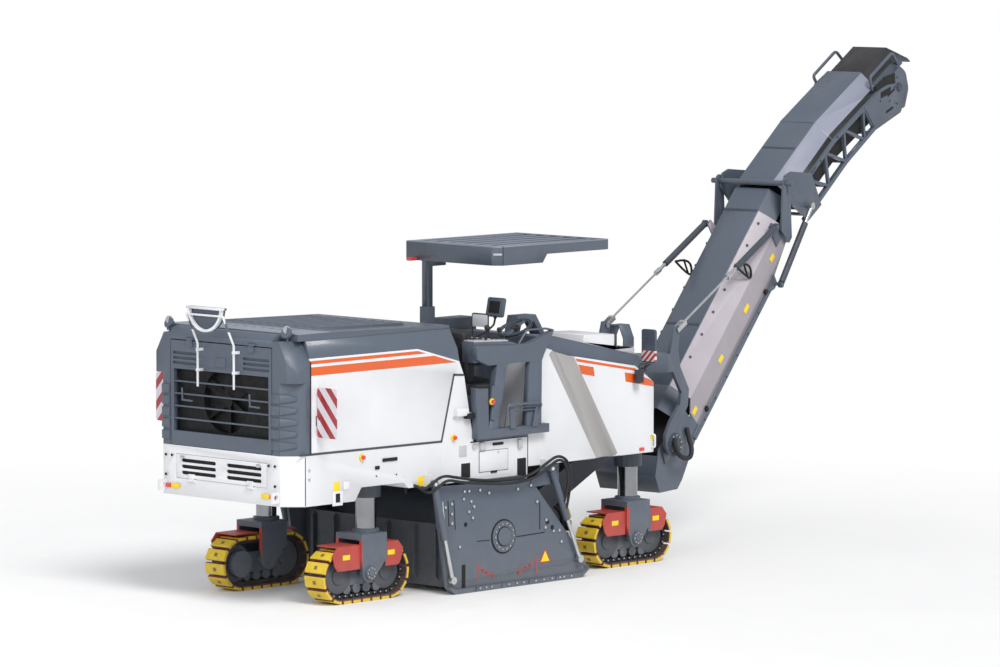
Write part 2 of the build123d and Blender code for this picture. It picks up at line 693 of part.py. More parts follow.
def write_front():
    half = MAST_OUTER / 2 + MOVE_GAP
    mast_space = box(FRONT_REAR_X - 1, MAST_X + half, MAST_Y - half, MAST_Y + half, FRONT_Z, FRONT_X)
    put("front_body_sides", group([side - mast_space for side in both_sides(front_side())]))
    put("front_body_core", joined([front_core(), front_deck()]) - mast_space)
    put("swivel_bracket", swivel_bracket())
    eyes = []
    for x0, x1, z in ((FRONT_X, FRONT_X + 110, 1262), (REAR_X - 90, REAR_X, 1150)):
        eye = box(x0, x1, 189 - BODY_HALF, 219 - BODY_HALF, z - 55, z + 55)
        middle = x1 - 50 if x0 > 0 else x0 + 50
        eyes += both_sides(eye - across(middle, z, 28, -BODY_HALF, 0))
    put("lashing_eyes", group(eyes))


# ---------------------------------------------------------------- operator's stand
def platform():
    """Floor of the open stand with its two seat cabinets."""
    inside = BODY_HALF - 3 * WALL
    pieces = [box(BULKHEAD_X, FRONT_REAR_X, -inside, inside, DECK_Z, PLATFORM_Z)]
    for y in (-SEAT_Y, SEAT_Y):
        pieces.append(box(SEAT_REAR + 15, SEAT_REAR + 365, y - SEAT_HALF, y + SEAT_HALF, PLATFORM_Z, SEAT_Z))
    return joined(pieces)


def seat(y):
    """Seat cushion and backrest."""
    cushion = box(SEAT_REAR, SEAT_REAR + 400, y - SEAT_HALF, y + SEAT_HALF, SEAT_Z + RUN_GAP, SEAT_Z + 110)
    back = [(SEAT_REAR - 10, SEAT_Z + 100), (SEAT_REAR + 90, SEAT_Z + 100), (SEAT_REAR + 40, 2620), (SEAT_REAR - 40, 2620)]
    return joined([cushion, side_slab(back, y - 220, y + 220)])


def stand_frame():
    """Right side frame of the stand: step rail, link to the deck, cabinet, a leaning post and a broad plate."""
    rail = box(-625, 430, -STAND_OUT, -STAND_IN, RAIL_Z - 90, RAIL_Z)
    link = box(-560, 190, -STAND_IN - 1, -BODY_HALF + 3 * WALL - RUN_GAP, DECK_Z, RAIL_Z - 60)
    top = CONSOLE_Z - RUN_GAP
    post_line = [(-453, RAIL_Z - 1), (-307, RAIL_Z - 1), (-184, top), (-330, top)]
    plate_line = [(105, RAIL_Z - 1), (322, RAIL_Z - 1), (330, top), (156, top)]
    posts = [side_slab(line, -STAND_OUT + 10, -STAND_IN) for line in (post_line, plate_line)]
    cabinet = [(-625, RAIL_Z - 1), (-462, RAIL_Z - 1), (-472, 2070), (-650, 2085)]
    return joined([rail, link, side_slab(cabinet, -STAND_OUT, -STAND_IN)] + posts)


WHEEL = (335, -720, 2612)      # middle of the steering wheel
WHEEL_R = 185


def console():
    """Control console beside and ahead of the right seat, with its outer cheek, foot and steering wheel."""
    cheek = side_slab([(-620, 2370), (-450, CONSOLE_Z), (330, CONSOLE_Z), (357, 2356), (513, 2605), (150, 2492),
                       (-125, 2486), (-620, 2511)], -STAND_OUT + 10, -STAND_IN)
    seat_side = -SEAT_Y - SEAT_HALF - 15
    desk = side_slab([(-600, 2330), (60, 2330), (90, 2470), (-60, 2520), (-600, 2545)], -STAND_IN, seat_side)
    front = side_slab([(-60, 2330), (60, 2330), (90, 2470), (-60, 2520)], seat_side, 150)
    foot = box(-80, 80, -520, -360, PLATFORM_Z, 2331)
    rim = many_sided(WHEEL_R, 28, 20) - many_sided(WHEEL_R - 28, 30, 20)
    wheel = Pos(*WHEEL) * Rot(0, -25, 0) * (rim + Box(2 * WHEEL_R - 20, 36, 14))
    stem = bar(WHEEL, (60, WHEEL[1], 2440), 24)
    return joined([cheek, desk, front, foot, wheel, stem])


def write_stand():
    put("platform", platform())
    put("stand_frames", group(both_sides(stand_frame())))
    put("console", console())
    put("seats", group([seat(-SEAT_Y), seat(SEAT_Y)]))


def write_canopy():
    half = MAST_OUTER / 2
    mast = box(MAST_X - half, MAST_X + half, MAST_Y - half, MAST_Y + half, PLATFORM_Z, MAST_OUTER_TOP)
    bore = MAST_INNER / 2 + RUN_GAP
    mast -= box(MAST_X - bore, MAST_X + bore, MAST_Y - bore, MAST_Y + bore, PLATFORM_Z + 200, MAST_OUTER_TOP + 1)
    put("canopy_mast", mast)
    core = MAST_INNER / 2
    inner = box(MAST_X - core, MAST_X + core, MAST_Y - core, MAST_Y + core, PLATFORM_Z + 640, CANOPY_BOTTOM + 20)
    outline = [(CANOPY_REAR, CANOPY_BOTTOM), (CANOPY_STEP, CANOPY_BOTTOM), (CANOPY_STEP + 66, CANOPY_SHALLOW),
               (CANOPY_FRONT, CANOPY_SHALLOW), (CANOPY_FRONT, CANOPY_TOP), (CANOPY_REAR, CANOPY_TOP)]
    roof = side_slab(outline, -CANOPY_HALF, CANOPY_HALF)
    roof = chamfer(roof.edges().filter_by(Axis.Z).group_by(Axis.X)[0].sort_by(Axis.Y)[0], CANOPY_CORNER)
    rim = CANOPY_HALF - CANOPY_WALL
    rear = CANOPY_REAR + CANOPY_CORNER + 20
    front = CANOPY_FRONT - CANOPY_WALL
    roof -= box(rear, CANOPY_STEP - 20, -rim, rim, CANOPY_BOTTOM - 1, CANOPY_SHALLOW + 60)
    roof -= box(CANOPY_STEP + 80, front, -rim, rim, CANOPY_SHALLOW - 1, CANOPY_SHALLOW + 60)
    roof -= box(rear, front, -rim, rim, CANOPY_TOP - ROOF_RECESS, CANOPY_TOP + 1)
    ribs = [box(rear + 60, front - 60, y - 22, y + 22, CANOPY_TOP - ROOF_RECESS - 1, CANOPY_TOP - 3)
            for y in range(-500, 501, 200)]
    head = box(MAST_X - core, CANOPY_REAR + 300, MAST_Y - core, MAST_Y + core, CANOPY_BOTTOM - 60, CANOPY_SHALLOW + 61)
    put("canopy", joined([roof, inner, head] + ribs))


# ---------------------------------------------------------------- milling unit
def milling_drum():
    """Drum shell with its shaft and cutting tools set in spirals."""
    pieces = [roller(DRUM_X, DRUM_Z, DRUM_R, -DRUM_HALF, DRUM_HALF, 2 * FACETS),
              across(DRUM_X, DRUM_Z, SHAFT_R, -HOUSING_END_IN - 60, HOUSING_END_IN + 60)]
    reach = TOOL_R - DRUM_R
    for row in range(TOOL_ROWS):
        y = -DRUM_HALF + 45 + row * (2 * DRUM_HALF - 90) / (TOOL_ROWS - 1)
        for number in range(TOOLS_PER_ROW):
            angle = number * 360 / TOOLS_PER_ROW + abs(row - (TOOL_ROWS - 1) / 2) * 22
            holder = Pos(0, y, DRUM_R + reach / 2 - 6) * Box(60, 42, reach + 12)
            pieces.append(Pos(DRUM_X, 0, DRUM_Z) * Rot(0, angle, 0) * holder)
    return joined(pieces)


def housing_shell():
    """Arched shell over the drum."""
    inner = TOOL_R + HOUSING_GAP
    outer = inner + HOUSING_THICK
    shell = roller(DRUM_X, DRUM_Z, outer, -HOUSING_END_IN, HOUSING_END_IN, 3 * FACETS)
    shell &= box(-2000, 2000, -2000, 2000, DRUM_Z, 2000)
    hanger_z = DRUM_Z + sqrt(outer**2 - 300**2) - 4
    hangers = [box(DRUM_X - 300, DRUM_X + 300, y - 20, y + 20, hanger_z, MID_Z) for y in (-600, 0, 600)]
    drum_space = roller(DRUM_X, DRUM_Z, inner, -HOUSING_END_IN - 1, HOUSING_END_IN + 1, 3 * FACETS)
    return joined([shell] + hangers) - drum_space


PLATE_IN = HOUSING_END_OUT + RUN_GAP
PLATE_OUT = PLATE_IN + PLATE_THICK
REAR_RAM_HEAD = (-1300, 1158)
REAR_RAM_FOOT = (-1035, 150)
FRONT_RAM_HEAD = (410, 1180)
FRONT_RAM_FOOT = (840, 200)
PLATE_BARREL = 600
PLATE_BORE = 540
PLATE_LIFT = 300
EYE_WIDTH = 44


def housing_end():
    """Right bearing wall of the housing, with the bore for the drum's shaft."""
    rear = SCRAPER_REAR + SCRAPER_THICK + RUN_GAP
    outline = [(rear, 240), (-780, 110), (100, 110), (330, 300), (330, 800), (60, MID_Z), (-640, MID_Z), (rear, 900)]
    wall = side_slab(outline, -HOUSING_END_OUT, -HOUSING_END_IN)
    return wall - across(DRUM_X, DRUM_Z, SHAFT_R + RUN_GAP, -HOUSING_END_IN - 62, -HOUSING_END_IN + 1)


def side_plate():
    """Right height-adjustable side plate with its skid."""
    outline = [(-993, 3), (876, 3), (990, 60), (1007, 95), (940, 213), (159, 1078), (-1257, 1118), (-1079, 78)]
    plate = side_slab(outline, -PLATE_OUT, -PLATE_IN)
    skid = side_slab([(-993, 0), (876, 0), (1000, 80), (960, 80), (860, 50), (-975, 50), (-1050, 80), (-1079, 78)],
                     -PLATE_LIP, -PLATE_OUT)
    boss_end = -PLATE_RAM_Y + max(EYE_WIDTH / 2, ROD_R) + OPEN_GAP
    bosses = [roller(x, z, 1.4 * PIN_R, boss_end, -PLATE_OUT) for x, z in (REAR_RAM_FOOT, FRONT_RAM_FOOT)]
    return joined([plate, skid] + bosses)


def ram_bracket(head):
    """Right bracket with its pin, for the head of a side plate's ram."""
    x, z = head
    block = box(x - 30, x + 30, -PLATE_OUT - 4, -BODY_HALF, z - 30, z + 90)
    return joined([block, roller(x, z, PIN_R, -PLATE_RAM_Y - 30, -PLATE_OUT)])


def scraper():
    """Scraper blade behind the drum, stiffened by upright ribs on its rear face."""
    half = BODY_HALF - 54
    pieces = [box(SCRAPER_REAR, SCRAPER_REAR + SCRAPER_THICK, -half, half, 60, 700)]
    for y in (-0.92, -0.6, -0.2, 0.2, 0.6, 0.92):
        rib = side_slab([(SCRAPER_REAR + 1, 120), (SCRAPER_REAR - 45, 180), (SCRAPER_REAR - 45, 640), (SCRAPER_REAR + 1, 690)],
                        y * half - 12, y * half + 12)
        pieces.append(rib)
    return joined(pieces)


def primary_conveyor():
    """Closed belt trough from the drum to the front, drawn along its own length and then tilted."""
    run = hypot(PRIMARY_HEAD[0] - PRIMARY_FOOT[0], PRIMARY_HEAD[1] - PRIMARY_FOOT[1])
    slope = degrees(atan2(PRIMARY_HEAD[1] - PRIMARY_FOOT[1], PRIMARY_HEAD[0] - PRIMARY_FOOT[0]))
    half = PRIMARY_DEPTH / 2
    trough = box(0, run, -PRIMARY_HALF, PRIMARY_HALF, -half, half)
    pieces = [trough] + [roller(end, 0, half, -PRIMARY_HALF, PRIMARY_HALF) for end in (0, run)]
    pieces = [Pos(PRIMARY_FOOT[0], 0, PRIMARY_FOOT[1]) * Rot(0, -slope, 0) * joined(pieces)]
    middle_z = PRIMARY_FOOT[1] + (HANGER_X - PRIMARY_FOOT[0]) * tan(radians(slope))
    for side in (-1, 1):
        pieces.append(box(HANGER_X - 35, HANGER_X + 35, side * 270, side * 300, middle_z, FRONT_Z))
    return joined(pieces)


def write_milling():
    put("milling_drum", milling_drum())
    put("drum_housing", housing_shell())
    put("housing_ends", group(both_sides(housing_end())))
    plate = side_plate()
    put("side_plate_right", plate)
    put("side_plate_left", mirror(plate, Plane.XZ))
    for place, head, foot in (("rear", REAR_RAM_HEAD, REAR_RAM_FOOT), ("front", FRONT_RAM_HEAD, FRONT_RAM_FOOT)):
        where = lay(head, foot, -PLATE_RAM_Y)
        barrel = where * ram_barrel(PLATE_BARREL, PLATE_BORE, EYE_WIDTH)
        rod = where * ram_rod(span(head, foot), PLATE_BARREL - PLATE_BORE + PLATE_LIFT + 20, EYE_WIDTH)
        put(f"plate_barrel_{place}_right", barrel)
        put(f"plate_rod_{place}_right", rod)
        put(f"plate_barrel_{place}_left", mirror(barrel, Plane.XZ))
        put(f"plate_rod_{place}_left", mirror(rod, Plane.XZ))
    put("ram_brackets", group(both_sides(ram_bracket(REAR_RAM_HEAD)) + both_sides(ram_bracket(FRONT_RAM_HEAD))))
    put("scraper", scraper())
    put("primary_conveyor", primary_conveyor())


# ---------------------------------------------------------------- discharge conveyor
SWIVEL = Pos(SLEW_X, 0, 0) * Rot(0, 0, SLEW_REST)
LOWER = SWIVEL * Pos(LIFT_L, 0, LIFT_Z) * Rot(0, -LIFT_REST, 0)
UPPER = LOWER * Pos(FOLD_U, 0, FOLD_V) * Rot(0, FOLD_KINK, 0)


def turned(point, angle):
    """(x, z) point turned about the origin."""
    x, z = point
    return (x * cos(radians(angle)) - z * sin(radians(angle)), x * sin(radians(angle)) + z * cos(radians(angle)))


def lift_rams():
    """Barrels and rods of the lift rams in the lower section's frame; each rod ends in a long stay."""
    anchor = turned((ANCHOR[0] - LIFT_L, ANCHOR[1] - LIFT_Z), -LIFT_REST)
    length = span(LIFT_LUG, anchor)
    barrel = ram_barrel(LIFT_BARREL, LIFT_BORE, EYE_WIDTH)
    half = (ARM_OUT - ARM_IN) / 2
    rod = [along(LIFT_BARREL - LIFT_BORE + 110, LIFT_BARREL + 130, ROD_R),
           along(LIFT_BARREL + 120, LIFT_BARREL + 200, ROD_R + 10),
           along(LIFT_BARREL + 190, length - 150, STAY_R),
           box(length - 155, length - 115, -half - 18, half + 18, -24, 24)]
    for side in (-1, 1):
        rod.append(box(length - 116, length + 24, side * (half + 6), side * (half + 18), -24, 24))
    rod = joined(rod)
    places = [lay(LIFT_LUG, anchor, side * LIFT_RAM_W) for side in (-1, 1)]
    return group([place * barrel for place in places]), group([place * rod for place in places])


def fold_rams():
    """Barrels and rods of the fold rams in the lower section's frame."""
    eye_point = turned(FOLD_EYE, -FOLD_KINK)
    end = (FOLD_U + eye_point[0], FOLD_V + eye_point[1])
    barrel = ram_barrel(FOLD_BARREL, FOLD_BORE, FOLD_EYE_WIDTH)
    rod = ram_rod(span(FOLD_LUG, end), FOLD_BARREL - FOLD_BORE + 60, FOLD_EYE_WIDTH)
    places = [lay(FOLD_LUG, end, side * FOLD_RAM_W) for side in (-1, 1)]
    return group([place * barrel for place in places]), group([place * rod for place in places])


def swivel_frame():
    """Slewing crown with two swept arms and a gooseneck plate on each side."""
    hub = post(0, 0, CROWN_R, CROWN_BOTTOM, CROWN_TOP, 24)
    neck = [(330, 1275), (428, 1421), (593, 1581), (625, 1713), (459, 1958), (408, 2154), (500, 2440), (596, 2440),
            (560, 2170), (600, 1990), (760, 1740), (740, 1560), (600, 1400), (640, 1240), (600, 1080), (500, 1030),
            (400, 1060), (330, 1150)]
    pieces = [hub]
    for side in (-1, 1):
        arm = plan_slab([(-40, side * 90), (360, side * ARM_OUT), (560, side * ARM_OUT), (560, side * (ARM_OUT - 60)),
                         (110, side * 20)], CROWN_BOTTOM, CROWN_TOP)
        pieces.append(arm)
        pieces.append(side_slab(neck, side * ARM_IN, side * ARM_OUT))
    frame = joined(pieces)
    frame -= upright(0, 0, SLEW_PIN_R + RUN_GAP, CROWN_BOTTOM - 1, CROWN_TOP + 1)
    for side in (-1, 1):
        frame -= across(LIFT_L, LIFT_Z, LIFT_PIN_R + RUN_GAP, side * (ARM_IN - 1), side * (ARM_OUT + 1))
    return frame


def lower_section():
    """Lower section in its own frame: side panels, chords, cross tubes and lift pins."""
    pieces = []
    for side in (-1, 1):
        outer = side * PANEL_HALF
        inner = side * (PANEL_HALF - PANEL_THICK)
        wall = side_slab([(LOWER_START, CHORD_V), (CHORD_END, CHORD_V), (LOWER_END, CHORD_V + 130), (LOWER_END, 0),
                          (620, 0), (381, -218)], inner, outer)
        pieces.append(wall)
        chord_in = side * (PANEL_HALF - CHORD)
        pieces.append(box(LOWER_START, CHORD_END, chord_in, side * (PANEL_HALF + 20), CHORD_V - 12, CHORD_V + 40))
    for u in (420, 1200, 2000):
        pieces.append(box(u, u + 60, -PANEL_HALF, PANEL_HALF, CHORD_V - 10, CHORD_V + 30))
    boot = side_slab([(-480, -250), (-250, -480), (-120, -480), (460, -360), (460, 0), (-150, 90), (-400, -60)],
                     -PANEL_HALF, PANEL_HALF)
    boot -= side_slab([(-440, -240), (-240, -440), (-130, -440), (461, -320), (461, 100), (-150, 100), (-360, -60)],
                      -PANEL_HALF + PANEL_THICK, PANEL_HALF - PANEL_THICK)
    pieces.append(boot)
    for side in (-1, 1):
        pieces.append(across(0, 0, LIFT_PIN_R, side * (PANEL_HALF - PANEL_THICK), side * ARM_OUT))
        out = side * (PANEL_HALF + 18)
        pieces.append(side_slab([(-200, -100), (200, -200), (200, 60), (-120, 80)], side * (PANEL_HALF - 1), out))
        lug = [(2860, -120), (3000, -120), (2985, 140), (2915, 140)]
        pieces.append(side_slab(lug, side * (PANEL_HALF - 1), out))
        pieces.append(roller(*LIFT_LUG, PIN_R, side * (PANEL_HALF - 1), side * (LIFT_RAM_W + 30)))
        lug = [(CHORD_END - 30, CHORD_V + 50), (2600, CHORD_V + 70), (2572, CHORD_V - 40), (2500, CHORD_V - 50),
               (CHORD_END - 30, CHORD_V)]
        pieces.append(side_slab(lug, side * (PANEL_HALF - 30), out))
        pieces.append(roller(*FOLD_LUG, PIN_R, side * (PANEL_HALF - 1), side * (FOLD_RAM_W + 24)))
        inner = side * (UPPER_HALF + 28)
        outer = side * (UPPER_HALF + 48)
        knuckle = side_slab([(KNUCKLE_START, -230), (KNUCKLE_END, -230), (FOLD_U + 40, FOLD_V - 60),
                             (FOLD_U - 30, FOLD_V + 62), (KNUCKLE_START, -20)], inner, outer)
        knuckle += roller(FOLD_U, FOLD_V, 70, inner, outer)
        pieces.append(knuckle - across(FOLD_U, FOLD_V, HINGE_BAR_R + RUN_GAP, inner - 50, outer + 50))
        pieces.append(box(KNUCKLE_START, KNUCKLE_END, side * (PANEL_HALF - 1), outer, -230, -60))
    return joined(pieces)


def folded_sheet(low_half, low_v, top_v, u0, u1):
    """Cover sheet folded over a belt: a flat top and two leaning sides."""
    outer = [(-low_half, low_v), (-COVER_HALF, top_v), (COVER_HALF, top_v), (low_half, low_v)]
    inner = [(low_half - SHEET, low_v), (COVER_HALF - SHEET / 2, top_v - SHEET),
             (-COVER_HALF + SHEET / 2, top_v - SHEET), (-low_half + SHEET, low_v)]
    return end_slab(outer + inner, u0, u1)


def lower_belt():
    """Belt loop of the lower section with its tail shaft, which turns in the panels."""
    half_thick = 60
    v = -120
    start = -40
    end = LOWER_END + 200
    pieces = [box(start, end, -BELT_HALF, BELT_HALF, v - half_thick, v + half_thick)]
    pieces += [roller(u, v, half_thick, -BELT_HALF, BELT_HALF) for u in (start, end)]
    reach = PANEL_HALF - PANEL_THICK - RUN_GAP
    pieces.append(roller(start, v, SHAFT_END_R, -reach, reach))
    return joined(pieces)


def strip(start, end, half):
    """Corners of a straight band of the side view, run on past both ends by its half width."""
    length = hypot(end[0] - start[0], end[1] - start[1])
    ahead = (half * (end[0] - start[0]) / length, half * (end[1] - start[1]) / length)
    aside = (-ahead[1], ahead[0])
    return [
        (start[0] - ahead[0] + aside[0], start[1] - ahead[1] + aside[1]),
        (end[0] + ahead[0] + aside[0], end[1] + ahead[1] + aside[1]),
        (end[0] + ahead[0] - aside[0], end[1] + ahead[1] - aside[1]),
        (start[0] - ahead[0] - aside[0], start[1] - ahead[1] - aside[1]),
    ]


def truss_side():
    """Right side of the upper section: square tubes, hinge plate, head plate and fold pin."""
    middle = -UPPER_HALF + TUBE_R
    pieces = []
    for line, half in ((BOTTOM_CHORD[:3], TUBE_R), (TOP_CHORD, TUBE_R), (UPPER_WEB, TUBE_R * 0.7)):
        for start, end in zip(line, line[1:]):
            pieces.append(side_slab(strip(start, end, half), middle - half, middle + half))
    head = [(1793, -705), (2300, -866), (2480, -800), (2593, -670), (2640, -520), (2600, -430), (2430, -428), (1760, -352)]
    hinge = [(-60, -40), (60, 60), (180, 20), (480, -250), (420, -660), (120, -640), (-20, -300)]
    pieces.append(side_slab(head, -UPPER_HALF - 2, -UPPER_HALF + PANEL_THICK))
    pieces.append(side_slab(hinge, -UPPER_HALF - 20, -UPPER_HALF + 1))
    boss_end = -FOLD_RAM_W + max(FOLD_EYE_WIDTH / 2, ROD_R) + OPEN_GAP
    pieces.append(roller(*FOLD_EYE, 1.4 * PIN_R, boss_end, -UPPER_HALF))
    return joined(pieces)


def upper_section():
    """Upper section: bent truss with its cross tubes and the hinge bar."""
    pieces = both_sides(truss_side())
    for s, t in CROSS_TUBES:
        pieces.append(bar((s, -UPPER_HALF + TUBE_R, t), (s, UPPER_HALF - TUBE_R, t), TUBE_R * 0.8))
    pieces.append(across(0, 0, HINGE_BAR_R, -UPPER_HALF - 130, UPPER_HALF + 130))
    return joined(pieces)


def upper_cover():
    """Cover over the upper belt, bent where the truss bends."""
    low = -274 + TUBE_R
    low_half = UPPER_HALF - TUBE_R
    first = folded_sheet(low_half, low, COVER_T, 60, UPPER_BEND)
    bend = Pos(UPPER_BEND, 0, COVER_T) * Rot(0, UPPER_BEND_ANGLE, 0)
    second = bend * folded_sheet(low_half, low - COVER_T, 0, -20, COVER_END - UPPER_BEND)
    return joined([first, second])


def upper_belt():
    """Belt of the upper section, bent like its truss, with the head pulley."""
    top = -330
    bottom = -520
    drop = (HEAD_PULLEY_S - UPPER_BEND) * tan(radians(UPPER_BEND_ANGLE + 1.5))
    outline = [(160, top), (UPPER_BEND, top), (HEAD_PULLEY_S, top - drop), (HEAD_PULLEY_S, bottom - drop),
               (UPPER_BEND, bottom), (160, bottom)]
    centre = (top + bottom) / 2 - drop
    pulley = roller(HEAD_PULLEY_S, centre, (top - bottom) / 2, -BELT_HALF, BELT_HALF, 24)
    reach = UPPER_HALF - PANEL_THICK - RUN_GAP
    shaft = roller(HEAD_PULLEY_S, centre, SHAFT_END_R, -reach, reach)
    return joined([side_slab(outline, -BELT_HALF, BELT_HALF), pulley, shaft])


def head_hood():
    """Dark hood over the head end: a folded sheet closed by its sloping front."""
    length = HOOD_TIP[0] - COVER_END
    slope = degrees(atan2(HOOD_TOP_T - HOOD_TIP[1], length))
    low_half = UPPER_HALF - TUBE_R
    (chord_s, chord_t), (end_s, end_t) = TOP_CHORD[-2:]
    fall = (end_t - chord_t) / (end_s - chord_s)
    drop = chord_t + (COVER_END - chord_s) * fall + TUBE_R - 8 - HOOD_TOP_T
    top = Pos(COVER_END + 2, 0, HOOD_TOP_T) * Rot(0, slope, 0) * folded_sheet(low_half, drop, 0, 0, length)
    front = Plane(origin=(HOOD_TIP[0], 0, HOOD_TIP[1]), x_dir=(0, 1, 0), z_dir=(335, 0, 130))
    outline = [(-COVER_HALF, 0), (COVER_HALF, 0), (low_half, -230), (low_half, -300), (-low_half, -300), (-low_half, -230)]
    face = make_face(Polyline(*outline, close=True))
    hood = joined([top, front.location * extrude(face, -SHEET)])
    chord = side_slab(strip((chord_s, chord_t), (end_s + 300, end_t + 300 * fall), TUBE_R + RUN_GAP), -UPPER_HALF, UPPER_HALF)
    return hood - chord


def write_conveyor():
    put("swivel_frame", SWIVEL * swivel_frame())
    put("conveyor_lower", LOWER * joined([lower_section(), folded_sheet(PANEL_HALF, 0, COVER_V, 620, LOWER_END)]))
    put("conveyor_lower_belt", LOWER * lower_belt())
    barrels, rods = lift_rams()
    put("lift_barrels", LOWER * barrels)
    put("lift_stays", LOWER * rods)
    barrels, rods = fold_rams()
    put("fold_barrels", LOWER * barrels)
    put("fold_rods", LOWER * rods)
    put("conveyor_upper", UPPER * joined([upper_section(), upper_cover()]))
    put("conveyor_upper_belt", UPPER * upper_belt())
    put("head_hood", UPPER * head_hood())


# ---------------------------------------------------------------- fittings
BOARD_X = -2820
BOARD_Y = BODY_HALF + 153
BOARD_Z = 1992
BOARD_WIDTH = 276
BOARD_HEIGHT = 500
LAMP = (-3062, 172 - BODY_HALF, 2786)
TRAY_X = -3345
TRAY_Z = 3010
TRAY_R = 250
LEG_X = -3220
LEG_Y = 265
LEG_FOOT_Z = 2190
LEG_KNEE_Z = 2630
LEG_TOP = (-3370, 2930)
CLAMP_ROWS = (GRILLE_TOP + 16, GRILLE_TOP + 220)
BOX_SIDE = BODY_HALF - 124            # right side of the service box on the front deck
BOX_LEFT = -300
BOX_STEP_Z = 2325
MIRROR = (2050, 9 - BODY_HALF, 2335)


def warning_board():
    """Right warning board with rounded corners, held by a bracket and a bent rod."""
    plate = extrude(RectangleRounded(BOARD_WIDTH, BOARD_HEIGHT, 32), 4, both=True)
    rod_x = BOARD_X + 12
    rod_y = -BODY_HALF - 30
    knee = (rod_x, rod_y, BOARD_Z - 200)
    return joined([
        Pos(BOARD_X, -BOARD_Y, BOARD_Z) * Plane.YZ.location * plate,
        box(rod_x - 22, rod_x + 22, rod_y - 15, -BODY_HALF, BOARD_Z - 130, BOARD_Z - 40),
        bar((rod_x, rod_y, BOARD_Z - 120), (knee[0], knee[1], knee[2] - 8), 10),
        bar(knee, (rod_x, -BOARD_Y, BOARD_Z - 200), 9),
    ])


def work_lamp():
    """Right rear work lamp: a round dish on a short stalk."""
    x, y, z = LAMP
    aim = Pos(x, y, z) * Rot(20, -70, 0)
    dish = aim * many_sided(58, 30)
    return joined([dish, aim * Pos(0, 0, -30) * many_sided(34, 40), post(x + 12, y, 11, HOOD_WALL_TOP, z, BAR_SIDES)])


def rear_tray():
    """Half-round tray on a tube frame clamped to the rear door."""
    lower = box(TRAY_X - 100, TRAY_X + 100, -TRAY_R - 1, TRAY_R + 1, TRAY_Z - TRAY_R - 1, TRAY_Z - 10)
    disc = Pos(TRAY_X, 0, TRAY_Z) * Rot(0, 90, 0) * many_sided(TRAY_R, 60, 2 * FACETS)
    hollow = Pos(TRAY_X - 14, 0, TRAY_Z) * Rot(0, 90, 0) * many_sided(TRAY_R - 26, 60, 2 * FACETS)
    pieces = [(disc - hollow) & lower, box(TRAY_X - 34, TRAY_X + 34, -TRAY_R - 12, TRAY_R + 12, TRAY_Z - 22, TRAY_Z)]
    top_x, top_z = LEG_TOP
    for y in (-LEG_Y, LEG_Y):
        pieces.append(post(LEG_X, y, 12, LEG_FOOT_Z, LEG_KNEE_Z + 4, BAR_SIDES))
        pieces.append(bar((LEG_X, y, LEG_KNEE_Z), (top_x, y, top_z + 4), 11.5))
        pieces += [box(LEG_X - 14, REAR_X, y - 14, y + 14, z - 14, z + 14) for z in CLAMP_ROWS]
    pieces.append(roller(top_x, top_z, 11, -LEG_Y - 4, LEG_Y + 4, BAR_SIDES))
    return joined(pieces)


def deck_z(x):
    """Height of the slate deck of the front body."""
    (low_x, low_z), (high_x, high_z) = DECK_LINE[1:3]
    return low_z + (x - low_x) * (high_z - low_z) / (high_x - low_x) + RUN_GAP


def service_box():
    """White stepped box on the right of the deck."""
    front = DECK_LINE[1][0]
    outline = [(1150, deck_z(1150)), (1180, 2500), (1640, 2480), (1640, BOX_STEP_Z), (front, BOX_STEP_Z), (front, deck_z(front))]
    return side_slab(outline, -BOX_SIDE, BOX_LEFT)


def arch_cover():
    """Open arched cover on the step of the service box."""
    low = BOX_STEP_Z
    outer = [(-900, low), (-900, 2420), (-835, 2560), (-700, 2560), (-640, 2440), (-640, low)]
    inner = [(-886, low - 1), (-886, 2417), (-826, 2546), (-709, 2546), (-654, 2437), (-654, low - 1)]
    return end_slab(outer, 1790, 1950) - end_slab(inner, 1789, 1951)


def mirror_and_arm():
    """Rear-view mirror at the front right corner, with the level box that hangs from its arm."""
    x, y, z = MIRROR
    glass = Pos(x, y, z) * Plane.YZ.location * extrude(RectangleRounded(190, 350, 28), 16, both=True)
    seat = (x - 50, -HOOD_TOP_HALF - 24, 2088)
    level_y = -BODY_HALF - 66
    elbow = (seat[0], level_y, 2160)
    wrist = (1838, level_y, 2157)
    return joined([
        glass,
        box(seat[0] - 30, seat[0] + 30, -HOOD_TOP_HALF - 46, -HOOD_TOP_HALF, 2066, 2110),
        bar(seat, (x, y, z - 160), 13),
        bar(seat, elbow, 11),
        bar(elbow, wrist, 10.5),
        bar(wrist, (1815, level_y, 2095), 10),
        box(1770, 1855, level_y - 30, level_y + 28, 1966, 2103),
    ])


def write_fittings():
    put("warning_boards", group(both_sides(warning_board())))
    put("work_lamps", group(both_sides(work_lamp())))
    put("rear_tray", rear_tray())
    put("service_box", service_box())
    put("arch_cover", arch_cover())
    put("mirror", mirror_and_arm())


write_crawlers()
write_body()
write_front()
write_stand()
write_canopy()
write_milling()
write_conveyor()
write_fittings()
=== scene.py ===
"""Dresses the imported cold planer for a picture: paints, stripes, fittings, seats, hoses, floor and light."""
import functools
import json
import math

import bpy
from bpy.props import FloatProperty, FloatVectorProperty, IntProperty, PointerProperty
from mathutils import Matrix, Vector

